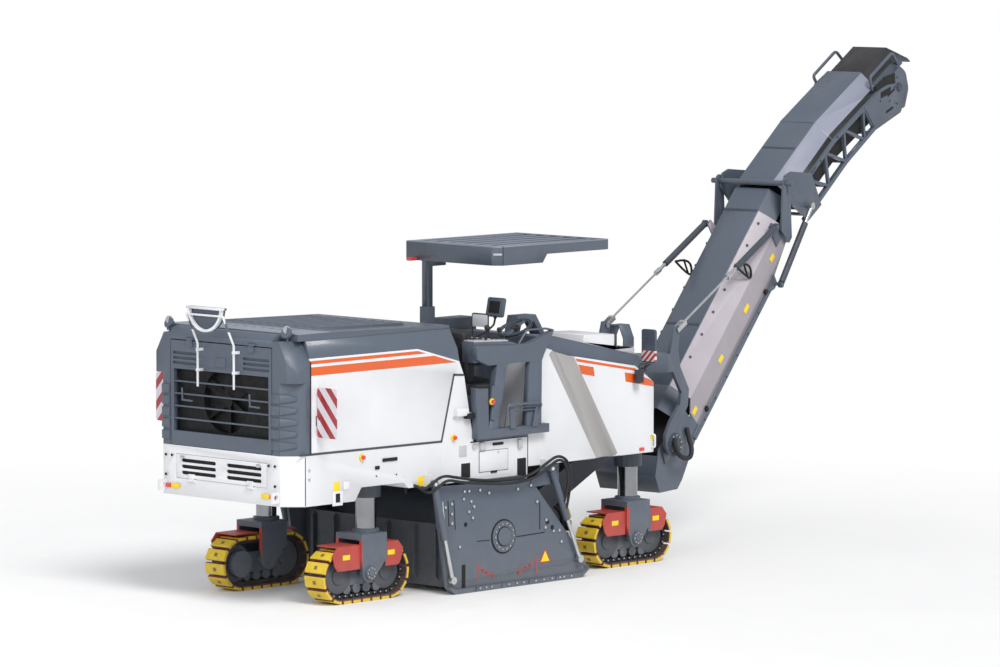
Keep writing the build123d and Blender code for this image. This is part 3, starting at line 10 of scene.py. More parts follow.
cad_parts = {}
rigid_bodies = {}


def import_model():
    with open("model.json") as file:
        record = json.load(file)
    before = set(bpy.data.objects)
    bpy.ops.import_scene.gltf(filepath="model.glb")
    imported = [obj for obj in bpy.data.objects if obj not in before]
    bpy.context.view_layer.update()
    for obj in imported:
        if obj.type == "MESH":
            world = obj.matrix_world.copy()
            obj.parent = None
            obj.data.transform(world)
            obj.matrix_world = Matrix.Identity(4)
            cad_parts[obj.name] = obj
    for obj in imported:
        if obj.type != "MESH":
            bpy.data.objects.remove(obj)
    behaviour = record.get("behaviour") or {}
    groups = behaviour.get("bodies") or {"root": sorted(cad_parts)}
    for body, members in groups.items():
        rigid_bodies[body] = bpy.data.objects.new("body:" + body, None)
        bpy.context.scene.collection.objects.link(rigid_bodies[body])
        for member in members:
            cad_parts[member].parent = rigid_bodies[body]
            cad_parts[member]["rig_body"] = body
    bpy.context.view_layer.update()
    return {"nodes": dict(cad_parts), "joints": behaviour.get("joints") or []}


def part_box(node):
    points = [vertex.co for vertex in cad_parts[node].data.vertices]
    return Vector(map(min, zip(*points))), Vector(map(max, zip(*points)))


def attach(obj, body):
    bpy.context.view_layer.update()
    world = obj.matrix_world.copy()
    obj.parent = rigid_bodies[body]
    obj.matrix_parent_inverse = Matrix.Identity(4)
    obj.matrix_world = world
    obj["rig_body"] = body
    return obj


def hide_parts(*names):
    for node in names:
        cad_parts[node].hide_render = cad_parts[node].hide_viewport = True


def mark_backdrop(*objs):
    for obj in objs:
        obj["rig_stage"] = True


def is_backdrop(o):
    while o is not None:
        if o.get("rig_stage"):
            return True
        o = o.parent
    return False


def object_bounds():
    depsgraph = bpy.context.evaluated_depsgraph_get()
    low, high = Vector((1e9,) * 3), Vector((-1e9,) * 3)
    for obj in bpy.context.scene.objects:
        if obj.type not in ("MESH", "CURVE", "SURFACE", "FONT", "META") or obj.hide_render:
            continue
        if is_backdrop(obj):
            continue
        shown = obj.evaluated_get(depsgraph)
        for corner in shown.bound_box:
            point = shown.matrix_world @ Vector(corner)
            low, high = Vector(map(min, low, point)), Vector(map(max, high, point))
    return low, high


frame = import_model()
NODES = frame["nodes"]

bl_info = {
    "name": "Cold planer dressing",
    "version": (1, 0, 0),
    "blender": (4, 5, 0),
    "location": "View3D > Sidebar > Planer",
    "description": "Paints and fits out the cold planer milling machine, and sets its stage",
    "category": "Object",
}

FRONT_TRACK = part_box("track_front_right")
REAR_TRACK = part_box("track_rear_right")
MIDDLE_X = (FRONT_TRACK[0].x + REAR_TRACK[1].x) / 2      # middle of the wheelbase
BODY_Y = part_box("rear_frame")[1].y                       # half width of the body
RIGHT, LEFT = -1, 1
SIDES = (("right", RIGHT), ("left", LEFT))
SHIFT = Matrix.Translation((MIDDLE_X, 0, 0))             # from the middle of the wheelbase to the frame
UNITS = ("front_left", "front_right", "rear_left", "rear_right")


def at(x, y, z):
    """Point given from the middle of the wheelbase, on the machine's middle plane, at the ground."""
    return Vector((MIDDLE_X + x, y, z))


def srgb(red, green, blue):
    """Linear colour of three screen values from 0 to 255."""
    return tuple(((v / 255 + 0.055) / 1.055) ** 2.4 if v > 10 else v / 255 / 12.92 for v in (red, green, blue))


# ---- settings
class PaintColours(bpy.types.PropertyGroup):
    white: FloatVectorProperty(name="White", description="Body paint", subtype="COLOR",
                               default=srgb(219, 220, 223), min=0, max=1)
    slate: FloatVectorProperty(name="Slate", description="Hood, stand and conveyor paint", subtype="COLOR",
                               default=srgb(84, 93, 106), min=0, max=1)
    orange: FloatVectorProperty(name="Orange", description="Stripes along the body", subtype="COLOR",
                                default=srgb(214, 92, 34), min=0, max=1)
    guard_red: FloatVectorProperty(name="Guard red", description="Guards over the tracks", subtype="COLOR",
                                   default=srgb(178, 56, 48), min=0, max=1)
    shoe_yellow: FloatVectorProperty(name="Shoe yellow", description="Pads of the track shoes", subtype="COLOR",
                                     default=srgb(222, 190, 24), min=0, max=1)
    panel_grey: FloatVectorProperty(name="Panel grey", description="Side panels of the conveyor",
                                    subtype="COLOR",
                                    default=srgb(178, 171, 179), min=0, max=1)
    dark: FloatVectorProperty(name="Dark", description="Rubber, hoses and gaps", subtype="COLOR",
                              default=srgb(34, 35, 38), min=0, max=1)


class FittingSizes(bpy.types.PropertyGroup):
    edge: FloatProperty(name="Edge", description="Rounding of sheet edges", default=0.005, min=0.001, max=0.02,
                        unit="LENGTH")
    bolt: FloatProperty(name="Bolt", description="Radius of a bolt head", default=0.014, min=0.004, max=0.04,
                        unit="LENGTH")
    hose: FloatProperty(name="Hose", description="Radius of a hydraulic hose", default=0.015, min=0.005,
                        max=0.04,
                        unit="LENGTH")
    rail: FloatProperty(name="Rail", description="Radius of a handrail tube", default=0.013, min=0.005,
                        max=0.04,
                        unit="LENGTH")
    seal: FloatProperty(name="Seal", description="Width of the dark seam round the hood", default=0.022,
                        min=0.005,
                        max=0.05, unit="LENGTH")
    knobs: IntProperty(name="Knobs", description="Knobs in a row on the console", default=6, min=2, max=12)


class StageSettings(bpy.types.PropertyGroup):
    lens: FloatProperty(name="Lens", description="Focal length of the camera, in millimetres", default=200.13,
                        min=20, max=400)
    sun: FloatProperty(name="Sun", description="Strength of the soft sun", default=2.1, min=0, max=10)
    sky: FloatProperty(name="Sky", description="Strength of the even light from all round", default=0.62, min=0,
                       max=3)
    fade: FloatProperty(name="Fade",
                        description="Distance from the machine where the floor starts to turn white",
                        default=5.5, min=1, max=40, unit="LENGTH")
    sun_angle: FloatProperty(name="Sun angle", description="Size of the sun, which softens its shadow",
                             default=math.radians(24), min=0, max=3, subtype="ANGLE")


def colours():
    return bpy.context.scene.planer_colours


def sizes():
    return bpy.context.scene.planer_sizes


# ---- node trees
SUMS = {
    # method of Finish: operation of its math node
    "over": "GREATER_THAN", "under": "LESS_THAN", "size": "ABSOLUTE", "less": "SUBTRACT", "times": "MULTIPLY",
    "plus": "ADD", "most": "MAXIMUM", "fraction": "FRACT", "share": "DIVIDE", "root": "SQRT", "turn": "ARCTAN2",
}


def tone(name, share=1.0):
    """Colour of the settings, made darker by share."""
    return tuple(share * value for value in getattr(colours(), name))


class Finish:
    """Material being built, with short calls for the nodes that repeat."""

    def __init__(self, name):
        self.material = bpy.data.materials.new(name)
        self.material.use_nodes = True
        self.tree = self.material.node_tree
        self.shader = self.tree.nodes["Principled BSDF"]
        self.place = self.add("ShaderNodeTexCoord").outputs["Object"]

    def add(self, kind, **settings):
        node = self.tree.nodes.new(kind)
        for key, value in settings.items():
            setattr(node, key, value)
        return node

    def feed(self, socket, value):
        if isinstance(value, bpy.types.NodeSocket):
            self.tree.links.new(value, socket)
        else:
            socket.default_value = value

    def __getattr__(self, call):
        """One method for each kind of sum in SUMS."""
        if call not in SUMS:
            raise AttributeError(call)

        def work(first, second=0.0, clamp=False):
            node = self.add("ShaderNodeMath", operation=SUMS[call], use_clamp=clamp)
            self.feed(node.inputs[0], first)
            self.feed(node.inputs[1], second)
            return node.outputs[0]
        return work

    def run(self, direction, origin=(0, 0, 0)):
        """Distance of a point from origin along direction."""
        node = self.add("ShaderNodeVectorMath", operation="DOT_PRODUCT")
        self.feed(node.inputs[0], self.place)
        node.inputs[1].default_value = direction
        return self.less(node.outputs["Value"], Vector(direction).dot(Vector(origin)))

    def above(self, start, end):
        """1 above the line through two (x, z) points given from the middle of the wheelbase."""
        slope = (end[1] - start[1]) / (end[0] - start[0])
        normal = Vector((-slope, 0, 1))
        return self.over(self.run(normal, at(start[0], 0, start[1])), 0)

    def all(self, *masks):
        """1 where every mask is 1."""
        return functools.reduce(self.times, masks)

    def any(self, *masks):
        """1 where one mask is 1 or more."""
        return functools.reduce(self.most, masks)

    def none(self, mask):
        return self.less(1.0, mask)

    def within(self, value, low, high):
        """1 where the value lies between two limits."""
        return self.times(self.over(value, low), self.under(value, high))

    def blend(self, factor, first, second):
        node = self.add("ShaderNodeMix", data_type="RGBA")
        self.feed(node.inputs["Factor"], factor)
        for socket, value in ((node.inputs[6], first), (node.inputs[7], second)):
            self.feed(socket, value if isinstance(value, bpy.types.NodeSocket) else (*value, 1.0))
        return node.outputs[2]

    def choose(self, mask, first, second):
        """First value where the mask is 0, second where it is 1."""
        node = self.add("ShaderNodeMix", data_type="FLOAT")
        for socket, value in zip(node.inputs, (mask, None, first, second)):
            if value is not None:
                self.feed(socket, value)
        return node.outputs[0]

    def noise(self, scale, detail=3.0, stretch=None):
        node = self.add("ShaderNodeTexNoise")
        node.inputs["Scale"].default_value = scale
        node.inputs["Detail"].default_value = detail
        if stretch:
            mapping = self.add("ShaderNodeMapping")
            mapping.inputs["Scale"].default_value = stretch
            self.feed(mapping.inputs["Vector"], self.place)
            self.feed(node.inputs["Vector"], mapping.outputs[0])
        else:
            self.feed(node.inputs["Vector"], self.place)
        return node.outputs["Fac"]

    def spread(self, value, low, high, out_low, out_high):
        node = self.add("ShaderNodeMapRange")
        for socket, given in zip(node.inputs, (value, low, high, out_low, out_high)):
            self.feed(socket, given)
        return node.outputs[0]

    def bump(self, height, strength, distance=0.002):
        node = self.add("ShaderNodeBump")
        node.inputs["Strength"].default_value = strength
        node.inputs["Distance"].default_value = distance
        self.feed(node.inputs["Height"], height)
        self.feed(self.shader.inputs["Normal"], node.outputs[0])

    def surface(self, colour, rough=(0.3, 0.45), metal=0.0, wear=0.06, grain=3.0, bump=0.04, coat=0.0,
                dust=0.0):
        """Base colour with patchy wear, uneven roughness, a fine bump and dust near the ground."""
        shade = self.spread(self.noise(grain, 5.0), 0.3, 0.75, 1.0 - wear, 1.0 + wear / 2)
        tint = self.add("ShaderNodeVectorMath", operation="SCALE")
        self.feed(tint.inputs[0], colour)
        self.feed(tint.inputs["Scale"], shade)
        colour = tint.outputs[0]
        if dust:
            height = self.add("ShaderNodeSeparateXYZ")
            self.feed(height.inputs[0], self.place)
            low = self.spread(height.outputs[2], 0.0, 0.9, dust, 0.0)
            amount = self.times(low, self.noise(9.0, 6.0), clamp=True)
            colour = self.blend(amount, colour, srgb(150, 143, 133))
        self.feed(self.shader.inputs["Base Color"], colour)
        self.feed(self.shader.inputs["Roughness"], self.spread(self.noise(14.0, 4.0), 0.3, 0.7, *rough))
        self.shader.inputs["Metallic"].default_value = metal
        if coat:
            self.shader.inputs["Coat Weight"].default_value = coat
            self.shader.inputs["Coat Roughness"].default_value = 0.12
        self.bump(self.noise(220.0, 2.0), bump)
        return self.material


FINISHES = {}
PLAIN_FINISHES = {
    # finish: its slot, its material's name, a colour of the settings or on the screen, the surface
    "white_paint": ("white_paint", "white_paint", "white",
                    dict(rough=(0.28, 0.38), wear=0.03, coat=0.3, dust=0.2)),
    "slate_paint": ("slate_paint", "slate_paint", "slate",
                    dict(rough=(0.36, 0.5), wear=0.08, bump=0.06, dust=0.25)),
    "dark_slate_paint": ("slate_paint", "dark_slate_paint", "slate",
                         dict(rough=(0.42, 0.58), wear=0.12, bump=0.08, dust=0.3)),
    "steel": ("steel", "bright_steel", (205, 206, 208),
              dict(rough=(0.22, 0.38), metal=1.0, wear=0.1, grain=12)),
    "column_steel": ("steel", "column_steel", (146, 148, 152),
                     dict(rough=(0.12, 0.22), metal=1.0, wear=0.12, grain=6)),
    "cutting_steel": ("steel", "cutting_steel", (70, 66, 62),
                      dict(rough=(0.45, 0.7), metal=0.6, wear=0.3, grain=14, bump=0.3)),
    "rubber": ("dark_paint", "black_rubber", "dark", dict(rough=(0.6, 0.8), wear=0.2, grain=9, bump=0.25)),
    "gap_black": ("dark_paint", "deep_black", (14, 15, 17), dict(rough=(0.6, 0.8), wear=0.1)),
    "belt_rubber": ("dark_paint", "belt_rubber", (38, 38, 40),
                    dict(rough=(0.65, 0.85), wear=0.25, grain=7, bump=0.35)),
    "guard_red": ("warning", "guard_red", "guard_red", dict(rough=(0.35, 0.5), wear=0.1, dust=0.15)),
    "label_yellow": ("warning", "label_yellow", (240, 205, 30), dict(rough=(0.3, 0.4), wear=0.04)),
    "signal_red": ("warning", "signal_red", (214, 62, 60), dict(rough=(0.2, 0.3), wear=0.04, coat=0.5)),
    "lamp_glass": ("steel", "lamp_glass", (215, 218, 222), dict(rough=(0.08, 0.16), metal=0.9, wear=0.1)),
    "panel_pale": ("white_paint", "panel_pale", (188, 186, 190), dict(rough=(0.34, 0.5), wear=0.08)),
    "leather": ("seat_black", "leather", (40, 41, 45), dict(rough=(0.45, 0.6), wear=0.12, grain=18, bump=0.3)),
    "clear_plate": ("glass", "clear_plate", (205, 208, 212), dict(rough=(0.08, 0.14), wear=0.02, bump=0.0)),
}
DARK_SHARE = 0.55       # brightness of the dark slate against the slate


def plain_finish(name):
    _, title, colour, surface = PLAIN_FINISHES[name]
    tint = srgb(*colour) if isinstance(colour, tuple) else tone(colour,
                                                                DARK_SHARE if name.startswith("dark") else 1.0)
    return Finish(title).surface(tint, **surface)


def finish(name):
    """Material by name, built on first use."""
    if name not in FINISHES:
        FINISHES[name] = plain_finish(name) if name in PLAIN_FINISHES else SPECIAL_FINISHES[name]()
    return FINISHES[name]


def hood_paint():
    """White hood side: slate over its bent line, and two orange stripes that end at that line."""
    paint = Finish("hood_paint")
    colour = tone("white")
    orange = tone("orange")
    level = paint.above((-2.80, 2.528), (-1.395, 2.528))
    fall = paint.above((-1.395, 2.528), (-0.79, 2.361))
    inside = paint.none(paint.above((-1.395, 2.508), (-0.79, 2.341)))
    thin = paint.all(paint.above((-2.80, 2.471), (-1.29, 2.475)),
                     paint.none(paint.above((-2.80, 2.506), (-1.40, 2.508))), inside)
    thick = paint.all(paint.above((-2.80, 2.357), (-0.89, 2.357)),
                      paint.none(paint.above((-2.80, 2.443), (-1.19, 2.445))), inside)
    base = paint.blend(paint.any(thin, thick), colour, orange)
    base = paint.blend(paint.any(level, fall), base, tone("slate"))
    return paint.surface(base, rough=(0.28, 0.4), wear=0.04, coat=0.25)


def front_paint():
    """White front body side: a thin orange stripe over a thick one that is left out in its middle, and grey
    painted shade in the flute.
    """
    paint = Finish("front_paint")
    flute_side = paint.over(paint.run((1, 0, 0.56), at(0.921, 0, 2.262)), 0)
    thin = paint.all(paint.above((0.928, 2.245), (1.834, 2.084)),
                     paint.none(paint.above((0.921, 2.276), (1.829, 2.113))),
                     flute_side, paint.under(paint.run((1, 0, 0), at(1.832, 0, 0)), 0))
    band = paint.all(paint.above((1.033, 2.103), (2.114, 1.899)),
                     paint.none(paint.above((0.963, 2.21), (1.881, 2.042))),
                     paint.none(paint.above((1.881, 2.042), (2.119, 1.956))), flute_side)
    bare = paint.all(paint.over(paint.run((1, 0, 0.2), at(1.195, 0, 2.12)), 0),
                     paint.under(paint.run((1, 0, 0.16), at(1.668, 0, 2.04)), 0))
    thick = paint.all(band, paint.none(bare))
    base = paint.blend(paint.any(thin, thick), tone("white"), tone("orange"))
    aside = paint.size(paint.run((0, 1, 0)))
    off_axis = paint.size(paint.run((0.846, 0, 0.533), at(1.430, 0, 1.165)))
    # the grey in the flute is painted shade, standing for the shadow on the groove's walls
    flute = paint.all(paint.under(aside, BODY_Y - 0.0015), paint.over(aside, BODY_Y - 0.07),
                      paint.under(off_axis, 0.165))
    base = paint.blend(flute, base, srgb(160, 158, 156))
    return paint.surface(base, rough=(0.28, 0.4), wear=0.03, coat=0.25)


SHOE_COUNT = 21
CHAIN_IN = 0.042      # the chain's outer line lies this far inside the shoes' faces


def track_finish(node):
    """Track shoes: yellow pads with dark gaps between them, a red line and dark steel towards the chain."""
    low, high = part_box(node)
    radius = (high.z - low.z) / 2
    half = (high.x - low.x) / 2 - radius
    chain = radius - CHAIN_IN
    quarter = math.pi * chain
    centre = Vector(((low.x + high.x) / 2, 0, low.z + radius))
    paint = Finish("shoes_" + node)
    along = paint.run((1, 0, 0), centre)
    up = paint.run((0, 0, 1), centre)
    past = paint.most(paint.less(paint.size(along), half), 0)
    reach = paint.root(paint.plus(paint.times(past, past), paint.times(up, up)))
    # the same way round the loop that the shoes follow: bottom run, front end, top run, rear end
    bottom = paint.plus(along, half)
    top = paint.less(3 * half + quarter, along)
    ahead = paint.less(along, half)
    behind = paint.times(paint.plus(along, half), -1)
    front_turn = paint.turn(ahead, paint.times(up, -1))
    front = paint.plus(paint.times(front_turn, chain), 2 * half)
    rear = paint.plus(paint.times(paint.turn(behind, up), chain), 4 * half + quarter)
    way = paint.choose(paint.over(up, 0), bottom, top)
    way = paint.choose(paint.over(ahead, 0), way, front)
    way = paint.choose(paint.over(behind, 0), way, rear)
    pitch = (4 * half + 2 * quarter) / SHOE_COUNT
    share = paint.fraction(paint.share(way, pitch))
    middle = paint.under(paint.size(paint.less(share, 0.5)), 0.385)
    pad = paint.all(paint.over(reach, radius - 0.030), middle)
    foot = paint.over(reach, chain + 0.002)
    aside = paint.size(paint.run((0, 1, 0), Vector((0, (low.y + high.y) / 2, 0))))
    centred = paint.under(paint.size(paint.less(share, 0.5)), 0.13)
    mark = paint.all(pad, centred, paint.under(aside, 0.022))
    base = paint.blend(foot, srgb(44, 41, 43), srgb(126, 56, 52))
    base = paint.blend(pad, base, tone("shoe_yellow"))
    base = paint.blend(mark, base, srgb(120, 96, 30))
    return paint.surface(base, rough=(0.5, 0.7), wear=0.14, grain=11, bump=0.2, dust=0.3)


def undercarriage_finish(node):
    """Track unit: slate frame and fork, red guards, steel column."""
    low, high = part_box(node)
    track = node.replace("undercarriage", "track")
    track_low, track_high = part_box(track)
    middle = Vector(((track_low.x + track_high.x) / 2, (track_low.y + track_high.y) / 2, 0))
    paint = Finish("unit_" + node)
    ahead = paint.run((1, 0, 0), middle)
    aside = paint.size(paint.run((0, 1, 0), middle))
    up = paint.run((0, 0, 1))
    half = (track_high.y - track_low.y) / 2
    outside = paint.any(paint.over(aside, half + 0.001), paint.over(up, track_high.z + 0.002))
    ends = paint.any(paint.under(ahead, -0.104), paint.over(ahead, 0.25))
    tall = paint.within(up, 0.338, 0.63)
    guard = paint.all(outside, ends, tall)
    column = paint.over(up, 0.80)
    base = paint.blend(guard, tone("slate"), tone("guard_red"))
    base = paint.blend(column, base, srgb(140, 142, 146))
    return paint.surface(base, rough=(0.34, 0.5), wear=0.12, grain=7, bump=0.1, dust=0.35)


def board_stripes():
    """Red and white reflecting stripes that fall outwards on both sides."""
    paint = Finish("board_stripes")
    low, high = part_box("warning_boards")
    centre = Vector((0, 0, (low.z + high.z) / 2))
    aside = paint.size(paint.run((0, 1, 0)))
    up = paint.run((0, 0, 1), centre)
    lean = paint.plus(paint.times(aside, 1.15), up)
    wave = paint.fraction(paint.share(paint.plus(lean, 3.149), 0.21))
    stripe = paint.over(wave, 0.54)
    rim = paint.over(aside, BODY_Y + 0.016)
    base = paint.blend(stripe, srgb(214, 208, 214), srgb(158, 44, 50))
    base = paint.blend(rim, srgb(30, 30, 32), base)
    return paint.surface(base, rough=(0.22, 0.32), wear=0.04, coat=0.4, bump=0.02)


def conveyor_axes():
    """Both hinges of the lower conveyor section, and the direction across it."""
    for joint in frame["joints"]:
        if joint["name"] == "conveyor_fold":
            far = Vector(joint["pos_m"])
        if joint["name"] == "conveyor_lift":
            near = Vector(joint["pos_m"])
            across = Vector(joint["axis"]).normalized()
    return near, far, across


CORNER_CUT = 0.086      # how far the canopy's cut corner reaches along its side


def canopy_paint():
    """Canopy: slate, with its top painted paler as painted light, and a dark seam beside the cut corner."""
    paint = Finish("canopy_paint")
    low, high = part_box("canopy")
    top = paint.over(paint.run((0, 0, 1)), high.z - 0.012)
    seam = paint.under(paint.size(paint.run((1, 0, 0), Vector((low.x + CORNER_CUT, 0, 0)))), 0.004)
    side = paint.under(paint.run((0, 1, 0)), low.y + 0.03)
    # the paler top is painted light, standing for the sky lighting the canopy's top face
    base = paint.blend(top, tone("slate"), srgb(124, 131, 143))
    base = paint.blend(paint.all(seam, side), base, srgb(52, 57, 66))
    return paint.surface(base, rough=(0.34, 0.46), wear=0.06)


def roof_paint():
    """Hood roof: slate, with a paler painted highlight behind its crest where the short louvres lie."""
    paint = Finish("roof_paint")
    behind = paint.under(paint.run((1, 0, 0), at(-2.52, 0, 0)), 0)
    upper = paint.over(paint.run((0, 0, 1)), 2.768)
    # the paler slate behind the crest is a painted highlight of the light on the louvres
    base = paint.blend(paint.all(behind, upper), tone("slate"), srgb(132, 139, 150))
    return paint.surface(base, rough=(0.34, 0.46), wear=0.06)


# ---- modelling helpers
def deselect():
    if bpy.context.object and bpy.context.object.mode != "OBJECT":
        bpy.ops.object.mode_set(mode="OBJECT")
    bpy.ops.object.select_all(action="DESELECT")


def pick(*objects):
    """Selects these objects alone, with the first as the active one."""
    deselect()
    for item in objects:
        item.select_set(True)
    bpy.context.view_layer.objects.active = objects[0]


def settle(piece, name, body, material, angle=35):
    """Applies modifiers and place, shades the piece and makes it ride on its body."""
    pick(piece)
    for modifier in list(piece.modifiers):
        bpy.ops.object.modifier_apply(modifier=modifier.name)
    bpy.ops.object.transform_apply(location=True, rotation=True, scale=True)
    bpy.ops.object.shade_smooth_by_angle(angle=math.radians(angle))
    piece.name = name
    piece.data.name = name
    if material:
        piece.data.materials.clear()
        piece.data.materials.append(finish(material) if isinstance(material, str) else material)
    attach(piece, body)
    deselect()
    return piece


def join(pieces):
    """One object made of several."""
    pick(*pieces)
    if len(pieces) > 1:
        bpy.ops.object.join()
    return made()


def softened(node, width, material):
    """Copy of a CAD node with its doubles merged and its edges rounded; it stands for the node."""
    source = NODES[node]
    copy = source.copy()
    copy.data = source.data.copy()
    copy.parent = None
    for key in list(copy.keys()):
        del copy[key]
    bpy.context.scene.collection.objects.link(copy)
    pick(copy)
    bpy.ops.object.mode_set(mode="EDIT")
    bpy.ops.mesh.select_all(action="SELECT")
    bpy.ops.mesh.remove_doubles(threshold=0.00002)
    bpy.ops.mesh.dissolve_limited(angle_limit=math.radians(1.5))
    bpy.ops.object.mode_set(mode="OBJECT")
    bevel = copy.modifiers.new("Edges", "BEVEL")
    bevel.width = width
    bevel.segments = 2
    bevel.limit_method = "ANGLE"
    bevel.angle_limit = math.radians(30)
    bevel.use_clamp_overlap = True
    bevel.harden_normals = True
    settle(copy, node + "_skin", source["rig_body"], material)
    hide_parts(node)
    return copy


def paint(node, material):
    """Gives a CAD node its finish."""
    data = NODES[node].data
    data.materials.clear()
    data.materials.append(finish(material) if isinstance(material, str) else material)


def made():
    """The object that the last call made."""
    return bpy.context.view_layer.objects.active


def rounded(piece, width):
    """Rounds the piece's sharp edges."""
    rounding = piece.modifiers.new("Edges", "BEVEL")
    rounding.width = width
    rounding.segments = 2
    rounding.limit_method = "ANGLE"
    bpy.ops.object.modifier_apply(modifier=rounding.name)


def block(centre, size, bevel=0.0, turn=None):
    """Box with rounded edges."""
    deselect()
    bpy.ops.mesh.primitive_cube_add(size=1, location=centre)
    piece = made()
    piece.scale = size
    bpy.ops.object.transform_apply(location=False, rotation=False, scale=True)
    if bevel:
        rounded(piece, bevel)
    if turn:
        piece.rotation_euler = turn
    return piece


def disc(centre, radius, depth, axis="Y", bevel=0.0, sides=24):
    """Round plate or bar whose axis is X, Y or Z."""
    deselect()
    turn = {"X": (0, math.pi / 2, 0), "Y": (math.pi / 2, 0, 0), "Z": (0, 0, 0)}[axis]
    bpy.ops.mesh.primitive_cylinder_add(vertices=sides, radius=radius, depth=depth, location=centre,
                                        rotation=turn)
    piece = made()
    if bevel:
        rounded(piece, bevel)
    return piece


def bolt(centre, axis="Y", radius=None):
    """Hexagon bolt head."""
    radius = radius or sizes().bolt
    return disc(centre, radius, radius * 1.1, axis, sides=6)


def bolt_ring(centre, reach, count, radius):
    """Bolt heads on a circle round a centre, square to Y."""
    turns = [2 * math.pi * number / count for number in range(count)]
    return [bolt(Vector(centre) + Vector((reach * math.cos(turn), 0, reach * math.sin(turn))), radius=radius)
            for turn in turns]


def route(points, bend):
    """Control points of a tube with straight runs and round bends."""
    corners = [Vector(point) for point in points]
    control = [corners[0]]
    for before, corner, after in zip(corners, corners[1:], corners[2:]):
        reach = min(2 * bend, (corner - before).length / 2, (after - corner).length / 2)
        control += [corner + (before - corner).normalized() * reach, corner,
                    corner + (after - corner).normalized() * reach]
    return control + [corners[-1]]


def smooth_line(points, steps=12, radius=0.0, ring_steps=4):
    """Curve of one smooth open line along control points, as thick as the radius says."""
    deselect()
    bpy.ops.curve.primitive_nurbs_path_add()
    piece = made()
    data = piece.data
    data.splines.clear()
    spline = data.splines.new("NURBS")
    spline.points.add(len(points) - 1)
    for control, place in zip(spline.points, points):
        control.co = (*place, 1)
    spline.order_u = 3
    spline.use_endpoint_u = True
    spline.resolution_u = steps
    if radius:
        data.bevel_depth = radius
        data.bevel_resolution = ring_steps
        data.use_fill_caps = True
    return piece


def pipe(points, radius, bend=0.05):
    """Bent tube through points, as a mesh."""
    smooth_line(route(points, bend) if bend else [Vector(point) for point in points], 4, radius, 3)
    bpy.ops.object.convert(target="MESH")
    return made()


def sheet_plate(points, thick, axis="Y", at_height=0.0, bevel=0.0):
    """Flat plate with an outline of (a, b) points, pushed out along axis by thick."""
    deselect()
    bpy.ops.mesh.primitive_plane_add(size=1)
    piece = made()
    lay = {"X": lambda a, b: (at_height, a, b), "Y": lambda a, b: (a, at_height, b), "Z": lambda a,
           b: (a, b, at_height)}
    data = piece.data
    data.clear_geometry()
    data.from_pydata([lay[axis](a, b) for a, b in points], [], [list(range(len(points)))])
    bpy.ops.object.mode_set(mode="EDIT")
    bpy.ops.mesh.select_all(action="SELECT")
    push = {"X": (thick, 0, 0), "Y": (0, thick, 0), "Z": (0, 0, thick)}[axis]
    bpy.ops.mesh.extrude_region_move(TRANSFORM_OT_translate={"value": push})
    bpy.ops.mesh.select_all(action="SELECT")
    bpy.ops.mesh.normals_make_consistent(inside=False)
    bpy.ops.object.mode_set(mode="OBJECT")
    if bevel:
        rounded(piece, bevel)
    return piece


def ball(centre, radius):
    deselect()
    bpy.ops.mesh.primitive_uv_sphere_add(segments=16, ring_count=8, radius=radius, location=centre)
    return made()


def group(name, pieces, material, body="chassis", place=None):
    """Joins pieces, moves them from their own frame to their real place and settles them as one."""
    whole = join(pieces)
    if place is not None:
        whole.matrix_world = place @ whole.matrix_world
        bpy.context.view_layer.update()
    return settle(whole, name, body, material)


# ---- conveyor frames
LOWER_SLOPE = math.radians(47)
UPPER_SLOPE = math.radians(37)


def section_frame(origin, across, slope):
    """Matrix whose X runs up a conveyor section, Y to its left and Z square to it."""
    left = -Vector(across).normalized()
    level = Vector((left.y, -left.x, 0))
    rise = Vector((0, 0, 1))
    ahead = level * math.cos(slope) + rise * math.sin(slope)
    up = rise * math.cos(slope) - level * math.sin(slope)
    return Matrix(((ahead.x, left.x, up.x, origin.x), (ahead.y, left.y, up.y, origin.y),
                   (ahead.z, left.z, up.z, origin.z), (0, 0, 0, 1)))


NEAR_HINGE, FAR_HINGE, ACROSS = conveyor_axes()
LOWER = section_frame(NEAR_HINGE, ACROSS, LOWER_SLOPE)
UPPER = section_frame(FAR_HINGE, ACROSS, UPPER_SLOPE)


# ---- stage
CAMERA_PLACE = (-40.83, -40.61, 7.66)      # from the middle of the wheelbase
CAMERA_BACK = (-0.7134, -0.6951, 0.0887)   # from what the camera looks at to the camera
SUN_PLACE, SUN_FROM, SUN_COLOUR = (8, -14, 20), (-0.30, -1.0, 1.15), (1.0, 0.985, 0.965)
FILL_PLACE, FILL_AIM, FILL_SIZE, FILL_POWER = (-13, -5, 7), (-3, 0, 1.5), (8, 6), 420
SKY_COLOUR = (0.95, 0.97, 1.0, 1)
FLOOR_SIZE, FLOOR_DROP = 90, 0.0005
FADE_REACH = 2.2                           # the floor is white at this many times the fade distance


def lamp(kind, place, back, **values):
    """Light at a place from the middle of the wheelbase, which shines away from back."""
    bpy.ops.object.light_add(type=kind, location=at(*place))
    light = made()
    for key, value in values.items():
        setattr(light.data, key, value)
    light.rotation_euler = Vector(back).to_track_quat("Z", "Y").to_euler()
    return light


